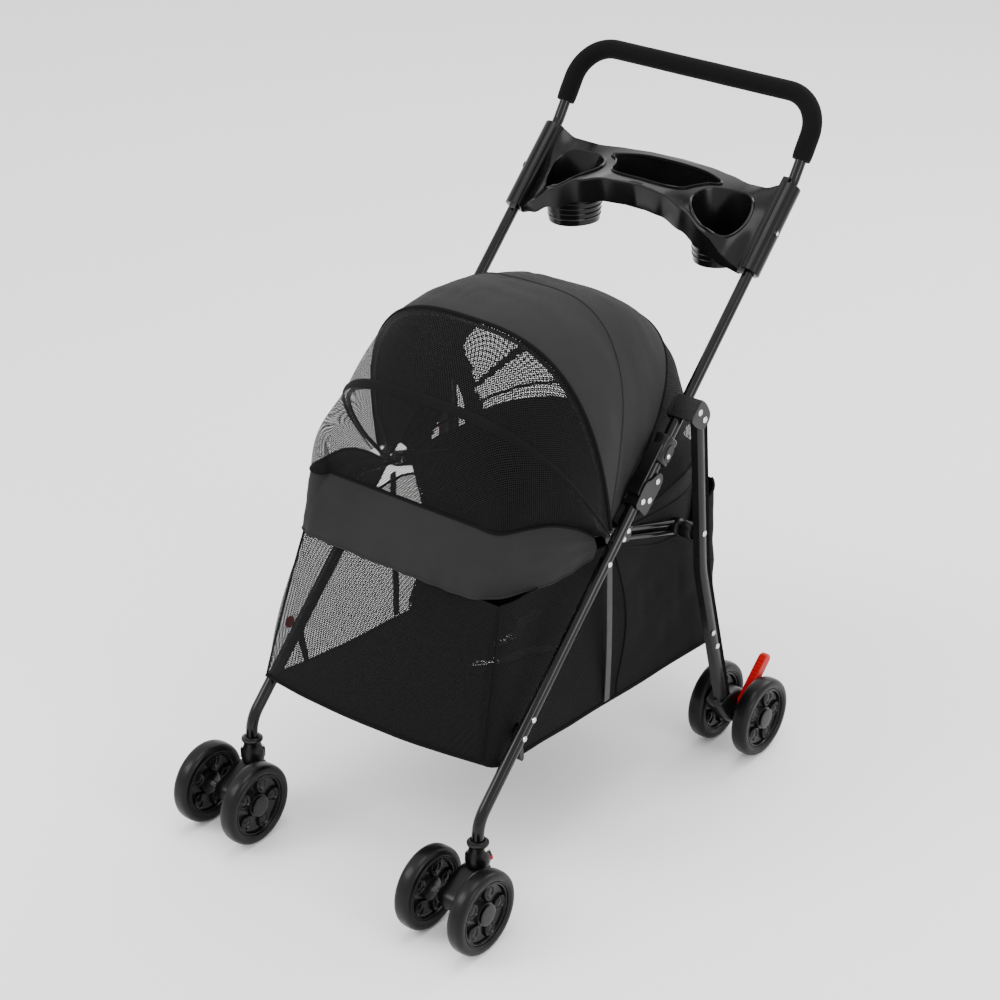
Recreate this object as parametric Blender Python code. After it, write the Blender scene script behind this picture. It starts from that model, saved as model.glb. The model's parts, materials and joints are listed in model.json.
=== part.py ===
"""Folding pet stroller: tube frame, dual-wheel casters, fabric cabin and canopy, parent tray.

Metres, +Z up. +X is the stroller's left, its front faces -Y, and the origin is on the floor
under the middle of the whole stroller.
"""

import math

import bmesh
import bpy
from mathutils import Matrix, Vector

# ---- Driving dimensions ----------------------------------------------------------------------
SIDES = (("left", 1), ("right", -1))
GAP = 0.0004  # running gap between neighbouring pieces

SLOPE = math.radians(44.5)  # of the front legs and the lower handle, above the floor
TUBE_X = 0.203  # half the distance between the leg tubes
LEG_R = 0.0085
HANDLE_R = 0.008
LEG_NORMAL = 0.347  # distance of the leg tubes' line from the origin, across the slope
HANDLE_NORMAL = 0.343

FOLD_AT = (0.386, 0.3357)  # along and across the slope: where the handle folds on the leg
LEG_PIVOT_AT = (0.4914, 0.326)  # where the rear leg hangs on the handle
RAIL_PIVOT_AT = (0.2925, 0.347)  # where the seat rail hangs on the front leg
RAIL_END = (0.138, 0.393)  # y and z of the seat rail's rear end, on the rear leg
BASKET_PIVOT = (-0.2415, 0.2495)
BASKET_FOOT = (-0.230, 0.1957)
CANOPY_PIVOT = (-0.048, 0.450)

WHEEL_R = 0.060
WHEEL_W = 0.026
AXLE_R = 0.004
CASTER_X = 0.202
CASTER_Y = -0.338
CASTER_TRAIL = 0.049
FRONT_WHEEL_OFFSET = 0.0447
REAR_X = 0.2363
REAR_AXLE_Y = 0.237
REAR_WHEEL_OFFSET = 0.0382

HANDLE_BEND = (0.849, HANDLE_NORMAL)
HANDLE_TOP = (0.433, 0.942)
HANDLE_CORNER_R = 0.055
GRIP_R = 0.014

CABIN_X = 0.190
CLOTH = 0.003
BAND_X = 0.1865
RAIL_X = 0.1848
RAIL_R = 0.0045
RIM_X = 0.1760
LOOP_X = 0.1755
LOOP_R = 0.0035
HOOP_R = 0.003
FRONT_FOOT_X = 0.183
MIDDLE_FOOT_X = 0.190


# ---- Frame of the sloping tubes --------------------------------------------------------------
def on_slope(along, across):
    """y and z of a point given along and across the slope of the front legs."""
    y = along * math.cos(SLOPE) - across * math.sin(SLOPE)
    z = along * math.sin(SLOPE) + across * math.cos(SLOPE)
    return (y, z)


FOLD = on_slope(*FOLD_AT)
LEG_PIVOT = on_slope(*LEG_PIVOT_AT)
RAIL_PIVOT = on_slope(*RAIL_PIVOT_AT)


# ---- Materials -------------------------------------------------------------------------------
def material(name, colour, roughness, metallic=0.0):
    found = bpy.data.materials.get(name)
    if found:
        return found
    made = bpy.data.materials.new(name)
    made.use_nodes = True
    shader = made.node_tree.nodes["Principled BSDF"]
    shader.inputs["Base Color"].default_value = (*colour, 1.0)
    shader.inputs["Roughness"].default_value = roughness
    shader.inputs["Metallic"].default_value = metallic
    return made


def gloss_tube():
    return material("gloss_black_tube", (0.012, 0.012, 0.013), 0.28, 0.4)


def satin_grey():
    return material("satin_grey_steel", (0.055, 0.055, 0.058), 0.42, 0.5)


def bright_steel():
    return material("bright_steel", (0.62, 0.62, 0.60), 0.25, 1.0)


def black_plastic():
    return material("black_plastic", (0.013, 0.013, 0.014), 0.38)


def tyre_black():
    return material("tyre_black", (0.016, 0.016, 0.017), 0.5)


def foam_black():
    return material("foam_black", (0.010, 0.010, 0.010), 0.9)


def red_plastic():
    return material("red_plastic", (0.78, 0.012, 0.02), 0.35)


def black_fabric():
    return material("black_fabric", (0.020, 0.020, 0.021), 0.85)


def grey_fabric():
    return material("grey_fabric", (0.058, 0.058, 0.060), 0.88)


def mesh_fabric():
    return material("mesh_fabric", (0.030, 0.030, 0.031), 0.8)


# ---- Objects and joints ----------------------------------------------------------------------
def clear_scene():
    for obj in list(bpy.data.objects):
        bpy.data.objects.remove(obj, do_unlink=True)


def pivot(name, x, y, z):
    """An empty on a joint's axis, which the moving pieces hang on."""
    empty = bpy.data.objects.new(name, None)
    empty.empty_display_size = 0.02
    empty.location = (x, y, z)
    bpy.context.scene.collection.objects.link(empty)
    return empty


def finished(name, bm, look, parent=None, smooth_deg=40.0):
    """A named object from a bmesh in world places, hung on its joint's empty."""
    bmesh.ops.remove_doubles(bm, verts=bm.verts, dist=1e-6)
    bmesh.ops.recalc_face_normals(bm, faces=bm.faces)
    mesh = bpy.data.meshes.new(name)
    bm.to_mesh(mesh)
    bm.free()
    mesh.materials.append(look)
    mesh.shade_smooth()
    mesh.set_sharp_from_angle(angle=math.radians(smooth_deg))
    obj = bpy.data.objects.new(name, mesh)
    bpy.context.scene.collection.objects.link(obj)
    if parent:
        obj.parent = parent
        obj.matrix_parent_inverse = Matrix.Translation(-parent.location)
    return obj


def boolean(target, operation, bm):
    """Cuts or joins the bmesh's shape into the target and leaves no helper behind."""
    tool = finished("tool", bm, black_plastic())
    step = target.modifiers.new("shape", "BOOLEAN")
    step.operation = operation
    step.solver = "EXACT"
    step.object = tool
    bpy.context.view_layer.update()
    graph = bpy.context.evaluated_depsgraph_get()
    result = bpy.data.meshes.new_from_object(target.evaluated_get(graph))
    target.modifiers.clear()
    old = target.data
    target.data = result
    bpy.data.meshes.remove(old)
    bpy.data.objects.remove(tool, do_unlink=True)
    result.shade_smooth()
    result.set_sharp_from_angle(angle=math.radians(40.0))


# ---- Shapes ----------------------------------------------------------------------------------
def ring_of(bm, centre, first, second, outline):
    """One ring of vertices: the 2-D outline laid on two directions about a centre."""
    return [bm.verts.new(centre + first * a + second * b) for a, b in outline]


def bridge(bm, rings, closed=False):
    """Side faces between successive rings, and end caps unless the run is closed."""
    pairs = list(zip(rings, rings[1:]))
    if closed:
        pairs.append((rings[-1], rings[0]))
    for one, two in pairs:
        for i in range(len(one)):
            j = (i + 1) % len(one)
            bm.faces.new((one[i], one[j], two[j], two[i]))
    if not closed:
        bm.faces.new(list(reversed(rings[0])))
        bm.faces.new(rings[-1])


def circle(radius, sides):
    step = 2 * math.pi / sides
    return [(radius * math.cos(step * i), radius * math.sin(step * i)) for i in range(sides)]


def oval(wide, thick, sides):
    """A flat oval: two half rounds joined by straight sides."""
    radius = thick / 2
    flat = wide / 2 - radius
    points = []
    for i in range(sides):
        angle = 2 * math.pi * (i + 0.5) / sides
        shift = flat if math.cos(angle) > 0 else -flat
        points.append((shift + radius * math.cos(angle), radius * math.sin(angle)))
    return points


def rounded_path(corners, radii, steps=6):
    """The corners' path with each inner corner turned into an arc: one radius, or one for each corner."""
    if isinstance(radii, float):
        radii = [radii] * (len(corners) - 2)
    path = [Vector(corners[0])]
    for before, here, after, radius in zip(corners, corners[1:], corners[2:], radii):
        here = Vector(here)
        back = (Vector(before) - here).normalized()
        onward = (Vector(after) - here).normalized()
        half = back.angle(onward) / 2
        reach = radius / math.tan(half)
        middle = here + (back + onward).normalized() * (radius / math.sin(half))
        start = here + back * reach - middle
        turn = math.pi - 2 * half
        axis = back.cross(start).normalized()
        for i in range(steps + 1):
            path.append(middle + Matrix.Rotation(turn * i / steps, 3, axis) @ start)
    path.append(Vector(corners[-1]))
    return path


def directions(path):
    """The direction along the path at each of its points."""
    found = []
    for i in range(len(path)):
        before = path[max(i - 1, 0)]
        after = path[min(i + 1, len(path) - 1)]
        found.append((after - before).normalized())
    return found


def swept(path, outline, up=Vector((1, 0, 0))):
    """A solid with the outline carried along the path; its first direction starts near up."""
    bm = bmesh.new()
    rings = []
    first = None
    for point, along in zip(path, directions(path)):
        lead = up if first is None else first
        first = (lead - along * lead.dot(along)).normalized()
        rings.append(ring_of(bm, point, first, along.cross(first), outline))
    bridge(bm, rings)
    return bm


def tube(path, radius, sides=12):
    return swept(path, circle(radius, sides))


def sleeve(path, outer, inner, sides=16):
    """A hollow run along the path, open at both ends."""
    bm = bmesh.new()
    rims = []
    for radius in (outer, inner):
        rings = []
        first = Vector((1, 0, 0))
        for point, along in zip(path, directions(path)):
            first = (first - along * first.dot(along)).normalized()
            rings.append(ring_of(bm, point, first, along.cross(first), circle(radius, sides)))
        for one, two in zip(rings, rings[1:]):
            for i in range(sides):
                j = (i + 1) % sides
                bm.faces.new((one[i], one[j], two[j], two[i]))
        rims.append((rings[0], rings[-1]))
    for end in (0, 1):
        for i in range(sides):
            j = (i + 1) % sides
            bm.faces.new((rims[0][end][i], rims[0][end][j], rims[1][end][j], rims[1][end][i]))
    return bm


def side_prism(outline, x_low, x_high):
    """An outline of y and z points carried across the stroller from one x to another."""
    bm = bmesh.new()
    rings = []
    for x in (x_low, x_high):
        rings.append([bm.verts.new((x, y, z)) for y, z in outline])
    bridge(bm, rings)
    return bm


def slope_prism(outline, x_low, x_high):
    """Like side_prism, with the outline given along and across the slope."""
    return side_prism([on_slope(along, across) for along, across in outline], x_low, x_high)


def floor_prism(outline, z_low, z_high):
    bm = bmesh.new()
    rings = []
    for z in (z_low, z_high):
        rings.append([bm.verts.new((x, y, z)) for x, y in outline])
    bridge(bm, rings)
    return bm


def cylinder(start, end, radius, sides=16):
    return swept([Vector(start), Vector(end)], circle(radius, sides), Vector((0.3, 0.5, 0.8)))


BORE_REACH = 0.04  # how far a cross bore's cutter reaches on each side


def drilled(obj, x, place, radius):
    """Cuts a bore along X through the object at a (y, z) place."""
    boolean(obj, "DIFFERENCE", cylinder((x - BORE_REACH, *place), (x + BORE_REACH, *place), radius + GAP))


def disc_outline(centre, radius, sides=16):
    return [(centre[0] + a, centre[1] + b) for a, b in circle(radius, sides)]


def turned(profile, centre, axis, sides=24):
    """A closed profile of (distance along the axis, radius) points turned about the axis."""
    along = Vector(axis).normalized()
    first = along.orthogonal().normalized()
    second = along.cross(first)
    bm = bmesh.new()
    rings = []
    for i in range(sides):
        angle = 2 * math.pi * i / sides
        out = first * math.cos(angle) + second * math.sin(angle)
        rings.append([bm.verts.new(Vector(centre) + along * a + out * r) for a, r in profile])
    bridge(bm, rings, closed=True)
    return bm


def spanned(side, near, far):
    """x limits in order for a piece that spans near to far from the middle on this side."""
    return (side * near, side * far) if side > 0 else (side * far, side * near)


# ---- Wheels and casters ----------------------------------------------------------------------
def wheel(name, x, y, look, parent):
    """Rounded tyre on a dished hub with a bore for the axle."""
    half = WHEEL_W / 2
    bore = AXLE_R + GAP
    tread = [(0.0, WHEEL_R), (half * 0.6, 0.0583), (half, 0.050), (half - 0.002, 0.046)]
    web = [(0.005, 0.044), (0.005, 0.014), (0.010, 0.012), (0.010, bore)]
    near = tread[1:] + web
    profile = tread[:1] + near + [(-a, r) for a, r in reversed(near)]
    bm = turned(profile, (x, y, WHEEL_R), (1, 0, 0), 22)
    return finished(name, bm, look, parent)


def axle_with_caps(name, x, y, reach, parent):
    """A steel axle with a low dome on each end."""
    z = WHEEL_R
    obj = finished(name, cylinder((x - reach, y, z), (x + reach, y, z), AXLE_R), bright_steel(), parent)
    for end in (-1, 1):
        cap = cylinder((x + end * reach, y, z), (x + end * (reach + 0.002), y, z), AXLE_R + 0.003)
        boolean(obj, "UNION", cap)
    return obj


def caster(side_name, side):
    """Swivelling fork with a wheel on each side of it, in front of the swivel axis."""
    x = side * CASTER_X
    axle_y = CASTER_Y - CASTER_TRAIL
    swivel = pivot(f"caster_pivot_{side_name}", x, CASTER_Y, 0.1)
    spin = pivot(f"front_axle_pivot_{side_name}", x, axle_y, WHEEL_R)
    outline = disc_outline((axle_y, WHEEL_R), 0.015)[4:13]
    outline += [(CASTER_Y + 0.006, 0.050), (CASTER_Y + 0.014, 0.066), (CASTER_Y + 0.014, 0.0905)]
    outline += [(CASTER_Y - 0.014, 0.0905), (CASTER_Y - 0.030, 0.083), (axle_y, 0.075)]
    fork_half = 0.019
    fork = finished(
        f"caster_fork_{side_name}",
        side_prism(ordered_about(outline), x - fork_half, x + fork_half),
        black_plastic(),
        swivel,
    )
    drilled(fork, x, (axle_y, WHEEL_R), AXLE_R)
    axle_with_caps(f"front_axle_{side_name}", x, axle_y, FRONT_WHEEL_OFFSET + 0.0115, swivel)
    for place, way in (("outer", side), ("inner", -side)):
        wheel_x = x + way * FRONT_WHEEL_OFFSET
        wheel(f"front_wheel_{place}_{side_name}", wheel_x, axle_y, tyre_black(), spin)


def ordered_about(outline):
    """The points of a star-shaped outline in order round their middle."""
    mid_y = sum(y for y, _ in outline) / len(outline)
    mid_z = sum(z for _, z in outline) / len(outline)
    return sorted(outline, key=lambda p: math.atan2(p[1] - mid_z, p[0] - mid_y))


SOCKET_TOP = 0.129
SOCKET_LOW = 0.0912
BUTTON_AT = (0.0106, 0.0121, 0.0989)


def caster_socket(side_name, side):
    """Plastic cup on the foot of the front leg, with the release button in its side."""
    leg_foot = SOCKET_TOP - 0.018
    axis_x = side * TUBE_X
    profile = [(SOCKET_LOW, 0.0), (SOCKET_LOW, 0.0165), (0.098, 0.0175), (0.106, 0.0170)]
    profile += [(0.112, 0.0130), (SOCKET_TOP - 0.001, 0.0125), (SOCKET_TOP, 0.0115)]
    profile += [(SOCKET_TOP, LEG_R + GAP), (leg_foot, LEG_R + GAP), (leg_foot, 0.0)]
    bm = turned_solid(profile, (axis_x, CASTER_Y, 0.0))
    cup = finished(f"caster_socket_{side_name}", bm, black_plastic())
    out = Vector((side * BUTTON_AT[0], BUTTON_AT[1], 0)).normalized()
    base = Vector((axis_x, CASTER_Y, BUTTON_AT[2]))
    boolean(cup, "DIFFERENCE", cylinder(base + out * 0.0095, base + out * 0.03, 0.0046))
    finished(
        f"release_button_{side_name}",
        cylinder(base + out * 0.0132, base + out * 0.0200, 0.0041),
        red_plastic(),
        pivot(f"button_pivot_{side_name}", *(base + out * 0.0132)),
    )


def turned_solid(profile, centre, sides=24):
    """A profile of (height, radius) points that starts and ends on the upright axis, turned."""
    bm = bmesh.new()
    low = bm.verts.new(Vector(centre) + Vector((0, 0, profile[0][0])))
    high = bm.verts.new(Vector(centre) + Vector((0, 0, profile[-1][0])))
    rings = []
    for height, radius in profile[1:-1]:
        ring = [bm.verts.new(Vector(centre) + Vector((a, b, height))) for a, b in circle(radius, sides)]
        rings.append(ring)
    for one, two in zip(rings, rings[1:]):
        for i in range(sides):
            j = (i + 1) % sides
            bm.faces.new((one[i], one[j], two[j], two[i]))
    for i in range(sides):
        j = (i + 1) % sides
        bm.faces.new((low, rings[0][j], rings[0][i]))
        bm.faces.new((high, rings[-1][i], rings[-1][j]))
    return bm


# ---- Front frame -----------------------------------------------------------------------------
LEG_TOP_ALONG = 0.370


def front_leg(side_name, side):
    """Sloping tube that turns upright just above its caster."""
    x = side * TUBE_X
    foot = (x, CASTER_Y, SOCKET_TOP - 0.018 + GAP)
    upright_top = (CASTER_Y * math.sin(SLOPE) + LEG_NORMAL) / math.cos(SLOPE)
    top = on_slope(LEG_TOP_ALONG, LEG_NORMAL)
    corners = [foot, (x, CASTER_Y, upright_top), (x, *top)]
    finished(f"front_leg_{side_name}", tube(rounded_path(corners, 0.05), LEG_R), gloss_tube())


PLATE = 0.003  # of the folded steel brackets
PLATE_IN = 0.0088  # inner face of a bracket's side plates, from the tube's middle


def u_bracket(name, x, outline, web, look, parent=None, reach_in=PLATE_IN, reach_out=PLATE_IN):
    """Two side plates joined over the tube by a web, all given along and across the slope."""
    side = 1 if x > 0 else -1
    plates = []
    for way, reach in ((side, reach_out), (-side, reach_in)):
        low, high = sorted((x + way * reach, x + way * (reach + PLATE)))
        plates.append(slope_prism(outline, low, high))
    obj = finished(name, plates[0], look, parent)
    boolean(obj, "UNION", plates[1])
    ends = sorted((x - side * (reach_in + PLATE), x + side * (reach_out + PLATE)))
    boolean(obj, "UNION", slope_prism(web, *ends))
    return obj


def fold_bracket(side_name, side):
    """Steel bracket on the front leg's top, which carries the handle's fold pin."""
    x = side * TUBE_X
    outline = [(0.338, 0.3235), (0.392, 0.3235), (0.399, 0.331), (0.399, 0.340)]
    outline += [(0.374, 0.3605), (0.338, 0.3605)]
    web_low = LEG_NORMAL + LEG_R + GAP
    web = [(0.338, web_low), (0.374, web_low), (0.374, 0.3605), (0.338, 0.3605)]
    obj = u_bracket(f"fold_bracket_{side_name}", x, outline, web, black_plastic())
    drilled(obj, x, FOLD, PIN_R)


PIN_R = 0.003


def cross_pin(name, side, near, far, place, parent=None):
    """Steel pivot pin with a low head at its outer end."""
    y, z = place
    obj = finished(name, cylinder((side * near, y, z), (side * far, y, z), PIN_R), bright_steel(), parent)
    boolean(obj, "UNION", cylinder((side * far, y, z), (side * (far + 0.002), y, z), PIN_R + 0.002))
    return obj


def basket_loop(parent):
    """Closed wire rectangle that the cabin's floor stands on, hung from the front legs."""
    front = (-0.262, 0.1985)
    rear = (0.150, 0.1655)
    clip_y, clip_z = BASKET_PIVOT
    corners = [
        (-LOOP_X, *front),
        (LOOP_X, *front),
        (LOOP_X, *rear),
        (-LOOP_X, *rear),
    ]
    middle = [Vector((0.0, *front))]
    path = rounded_path(middle + [Vector(c) for c in corners[1:]] + [Vector(corners[0])] + middle, 0.03)
    bm = bmesh.new()
    rings = []
    first = Vector((0, 0.1, 1)).normalized()
    points = path[:-1]
    for i, point in enumerate(points):
        along = (points[(i + 1) % len(points)] - points[i - 1]).normalized()
        first = (first - along * first.dot(along)).normalized()
        rings.append(ring_of(bm, point, first, along.cross(first), circle(LOOP_R, 10)))
    bridge(bm, rings, closed=True)
    loop = finished("basket_loop", bm, gloss_tube(), parent)
    foot_y, foot_z = BASKET_FOOT
    for _, side in SIDES:
        low, high = spanned(side, CABIN_X + 0.001, TUBE_X - LEG_R - 0.001)
        arm = [(clip_y - 0.007, clip_z), (clip_y + 0.007, clip_z)]
        arm += [(foot_y + 0.004, foot_z), (foot_y - 0.004, foot_z)]
        boolean(loop, "UNION", side_prism(ordered_about(arm), low, high))
        boolean(loop, "UNION", side_prism(disc_outline((clip_y, clip_z), 0.008, 12), low, high))
        foot_low, foot_high = spanned(side, LOOP_X, TUBE_X - LEG_R - 0.0015)
        boolean(loop, "UNION", side_prism(disc_outline(BASKET_FOOT, 0.0038, 8), foot_low, foot_high))
    return loop


def hanger_strap(side_name, side):
    """Flat webbing strap from the seat rail down to the basket's wire."""
    low, high = spanned(side, CABIN_X + GAP, CABIN_X + GAP + 0.0018)
    outline = [(-0.041, 0.190), (-0.029, 0.189), (-0.029, 0.424), (-0.041, 0.428)]
    finished(f"hanger_strap_{side_name}", side_prism(outline, low, high), satin_grey())


def fold_post():
    """Red mushroom on the right front leg, which the hook catches when the frame is folded."""
    y, z = on_slope(0.0153, LEG_NORMAL)
    start = -(TUBE_X + LEG_R + GAP)
    obj = finished("fold_post", cylinder((start, y, z), (start - 0.008, y, z), 0.004), red_plastic())
    boolean(obj, "UNION", cylinder((start - 0.007, y, z), (start - 0.012, y, z), 0.009))


# ---- Handle ----------------------------------------------------------------------------------
def handle_path():
    """From the left fold joint, round the top bar, to the right fold joint."""
    foot = on_slope(0.378, HANDLE_NORMAL)
    bend = on_slope(*HANDLE_BEND)
    half = [
        Vector((TUBE_X, *foot)),
        Vector((TUBE_X, *bend)),
        Vector((TUBE_X, *HANDLE_TOP)),
    ]
    other = [Vector((-p.x, p.y, p.z)) for p in reversed(half)]
    return half + other


def handle_tube(parent):
    corners = handle_path()
    path = rounded_path(corners, HANDLE_CORNER_R)
    obj = finished("handle_tube", tube(path, HANDLE_R), gloss_tube(), parent)
    for _, side in SIDES:
        low, high = spanned(side, TUBE_X - 0.006, TUBE_X + 0.006)
        lug = [(0.380, HANDLE_NORMAL), (0.378, 0.333), (0.386, 0.328), (0.394, 0.331), (0.400, HANDLE_NORMAL)]
        boolean(obj, "UNION", slope_prism(lug, low, high))
        x = side * TUBE_X
        drilled(obj, x, FOLD, PIN_R)
    return obj


def foam_grip(parent):
    bend = Vector((TUBE_X, *on_slope(*HANDLE_BEND)))
    top = Vector((TUBE_X, *HANDLE_TOP))
    start = bend + (top - bend).normalized() * 0.032
    half = [start, top]
    corners = half + [Vector((-p.x, p.y, p.z)) for p in reversed(half)]
    path = rounded_path(corners, HANDLE_CORNER_R)
    finished("foam_grip", sleeve(path, GRIP_R, HANDLE_R + GAP), foam_black(), parent)


TRAY_TOP = 0.818
TRAY_PLATE = 0.005
CUP_AT = (0.130, 0.302)
CUP_R = 0.041
CUP_LOW = 0.728
BIN = (0.080, 0.281, 0.366, 0.772)  # half width, front, back and underside
TRAY_WALL = 0.003
CLAMP_ALONG = (0.704, 0.842)
CLAMP_R = 0.015


def half_ring(side, way, along_low, along_high, outer, inner):
    """Half of a round clamp about the handle tube: way is +1 for the half away from the middle."""
    turn = side * way
    points = []
    for radius, angles in ((outer, range(0, 181, 20)), (inner, range(180, -1, -20))):
        for degrees in angles:
            angle = math.radians(degrees - 90)
            across = radius * math.sin(angle)
            out = radius * math.cos(angle) + GAP
            points.append((turn * out, across))
    bm = bmesh.new()
    rings = []
    for along in (along_low, along_high):
        ring = []
        for out, across in points:
            y, z = on_slope(along, HANDLE_NORMAL + across)
            ring.append(bm.verts.new((side * TUBE_X + out, y, z)))
        rings.append(ring)
    bridge(bm, rings)
    return bm


def tray(parent):
    """Parent tray: a plate with two cup holders, a middle bin and a clamp half on each tube."""
    quarter = [(0.0, 0.272), (0.085, 0.258), (0.130, 0.252), (0.172, 0.262), (0.178, 0.335)]
    quarter += [(0.150, 0.350), (0.090, 0.385), (0.0, 0.397)]
    outline = quarter + [(-x, y) for x, y in reversed(quarter[1:-1])]
    obj = finished("tray", floor_prism(outline, TRAY_TOP - TRAY_PLATE, TRAY_TOP), black_plastic(), parent)
    width, front, back, low = BIN
    bin_outline = [(-width, front), (width, front), (width, back), (-width, back)]
    boolean(obj, "UNION", floor_prism(bin_outline, low, TRAY_TOP - 0.001))
    for _, side in SIDES:
        cup = [(side * CUP_AT[0] + a, CUP_AT[1] + b) for a, b in circle(CUP_R, 24)]
        boolean(obj, "UNION", floor_prism(cup, CUP_LOW, TRAY_TOP - 0.001))
        wing_low, wing_high = spanned(side, CUP_AT[0] + CUP_R - 0.002, TUBE_X - HANDLE_R - 0.003)
        start, end = CLAMP_ALONG[0] + 0.002, CLAMP_ALONG[1] - 0.002
        wing = [(start, HANDLE_NORMAL - 0.008), (end, HANDLE_NORMAL - 0.008)]
        wing += [(end, HANDLE_NORMAL + 0.004), (start, HANDLE_NORMAL + 0.004)]
        boolean(obj, "UNION", slope_prism(wing, wing_low, wing_high))
        boolean(obj, "UNION", half_ring(side, -1, *CLAMP_ALONG, CLAMP_R, HANDLE_R + GAP))
    wall = TRAY_WALL
    hollow = [(-width + wall, front + wall), (width - wall, front + wall)]
    hollow += [(width - wall, back - wall), (-width + wall, back - wall)]
    boolean(obj, "DIFFERENCE", floor_prism(hollow, low + wall, TRAY_TOP + 0.05))
    for _, side in SIDES:
        inside = [(side * CUP_AT[0] + a, CUP_AT[1] + b) for a, b in circle(CUP_R - wall, 24)]
        boolean(obj, "DIFFERENCE", floor_prism(inside, CUP_LOW + wall, TRAY_TOP + 0.05))
    return obj


def tray_clamp(side_name, side, parent):
    """Outer half of the tray's round clamp on the handle tube."""
    bm = half_ring(side, 1, *CLAMP_ALONG, CLAMP_R, HANDLE_R + GAP)
    finished(f"tray_clamp_{side_name}", bm, black_plastic(), parent)


LEG_IN = 0.217  # inner face of the rear leg at its top
LEG_THICK = 0.012
LEG_WIDE = 0.025


def leg_bracket(side_name, side, parent):
    """Bracket on the handle tube that carries the top of the rear leg."""
    x = side * TUBE_X
    low = LEG_PIVOT_AT[1] - 0.011
    outline = [(0.474, 0.334), (0.484, low), (0.499, low), (0.509, 0.334), (0.509, 0.3555), (0.474, 0.3555)]
    web_low = HANDLE_NORMAL + HANDLE_R + GAP
    web = [(0.474, web_low), (0.509, web_low), (0.509, 0.3555), (0.474, 0.3555)]
    reach_out = LEG_IN + LEG_THICK + 0.001 - TUBE_X
    obj = u_bracket(
        f"leg_bracket_{side_name}", x, outline, web, black_plastic(), parent, PLATE_IN, reach_out
    )
    hole = cylinder((x - 0.05, *LEG_PIVOT), (x + 0.05, *LEG_PIVOT), PIN_R + GAP)
    boolean(obj, "DIFFERENCE", hole)


def lock_sleeve(side_name, side):
    """Sliding lock on the handle tube, with a tongue over the fold bracket."""
    x = side * TUBE_X
    low, high = 0.4080, 0.4475
    place = on_slope(low, HANDLE_NORMAL)
    slide = pivot(f"lock_pivot_{side_name}", x, *place)
    across = (HANDLE_NORMAL - 0.0135, HANDLE_NORMAL + 0.0185)
    outline = [(low, across[0]), (high, across[0]), (high, across[1]), (low, across[1])]
    half = 0.0135
    body = slope_prism(outline, x - half, x + half)
    obj = finished(f"lock_sleeve_{side_name}", body, black_plastic(), slide)
    tongue = [(0.352, 0.3612), (0.43, 0.3612), (0.43, 0.3660), (0.356, 0.3660)]
    boolean(obj, "UNION", slope_prism(tongue, x - 0.010, x + 0.010))
    start = on_slope(low - 0.02, HANDLE_NORMAL)
    end = on_slope(high + 0.02, HANDLE_NORMAL)
    boolean(obj, "DIFFERENCE", cylinder((x, *start), (x, *end), HANDLE_R + 2 * GAP))
    return obj


# ---- Seat rails and front rim ----------------------------------------------------------------
def rail_line(share, across):
    """A point on the seat rail: 0 at the front pivot and 1 at the rear end, offset upward."""
    start = Vector(RAIL_PIVOT)
    end = Vector(RAIL_END)
    up = Vector((-(end - start).y, (end - start).x)).normalized()
    return tuple(start + (end - start) * share + up * across)


def seat_rail(side_name, side, parent):
    """Twin tubes between a riveted front plate and the rear end socket."""
    x = side * RAIL_X
    upper = [Vector((x, *rail_line(share, 0.003))) for share in (0.16, 0.96)]
    lower = [Vector((x, *rail_line(share, -0.010))) for share in (0.06, 0.96)]
    obj = finished(f"seat_rail_{side_name}", tube(upper, RAIL_R, 10), gloss_tube(), parent)
    boolean(obj, "UNION", tube(lower, RAIL_R, 10))
    plate = [rail_line(0.0, 0.008), rail_line(0.30, 0.008), rail_line(0.30, -0.0145)]
    plate += [rail_line(0.0, -0.0145), rail_line(-0.045, -0.004), rail_line(-0.045, 0.004)]
    low, high = spanned(side, RAIL_X + 0.0012, RAIL_X + 0.0044)
    boolean(obj, "UNION", side_prism(plate, low, high))
    low, high = spanned(side, RAIL_X - 0.005, LEG_IN - 0.0015)
    boolean(obj, "UNION", side_prism(disc_outline(rail_line(0.97, -0.0015), 0.0125), low, high))
    boolean(obj, "DIFFERENCE", rail_pin_hole(side))


def rail_pin_hole(side):
    start, end = spanned(side, 0.15, TUBE_X)
    return cylinder((start, *RAIL_PIVOT), (end, *RAIL_PIVOT), PIN_R + GAP)


def rail_pin(side_name, side):
    """Steel pin fixed in the front leg, on which the seat rail and the rim wire turn."""
    y, z = RAIL_PIVOT
    near, far = RIM_X - 0.003, TUBE_X - LEG_R - GAP
    pin = cylinder((side * near, y, z), (side * far, y, z), PIN_R)
    obj = finished(f"rail_pin_{side_name}", pin, bright_steel())
    head = cylinder((side * near, y, z), (side * (near - 0.002), y, z), PIN_R + 0.002)
    boolean(obj, "UNION", head)


RIM_FRONT = (-0.214, 0.478)
RIM_BEND = (-0.120, 0.468)


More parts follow.
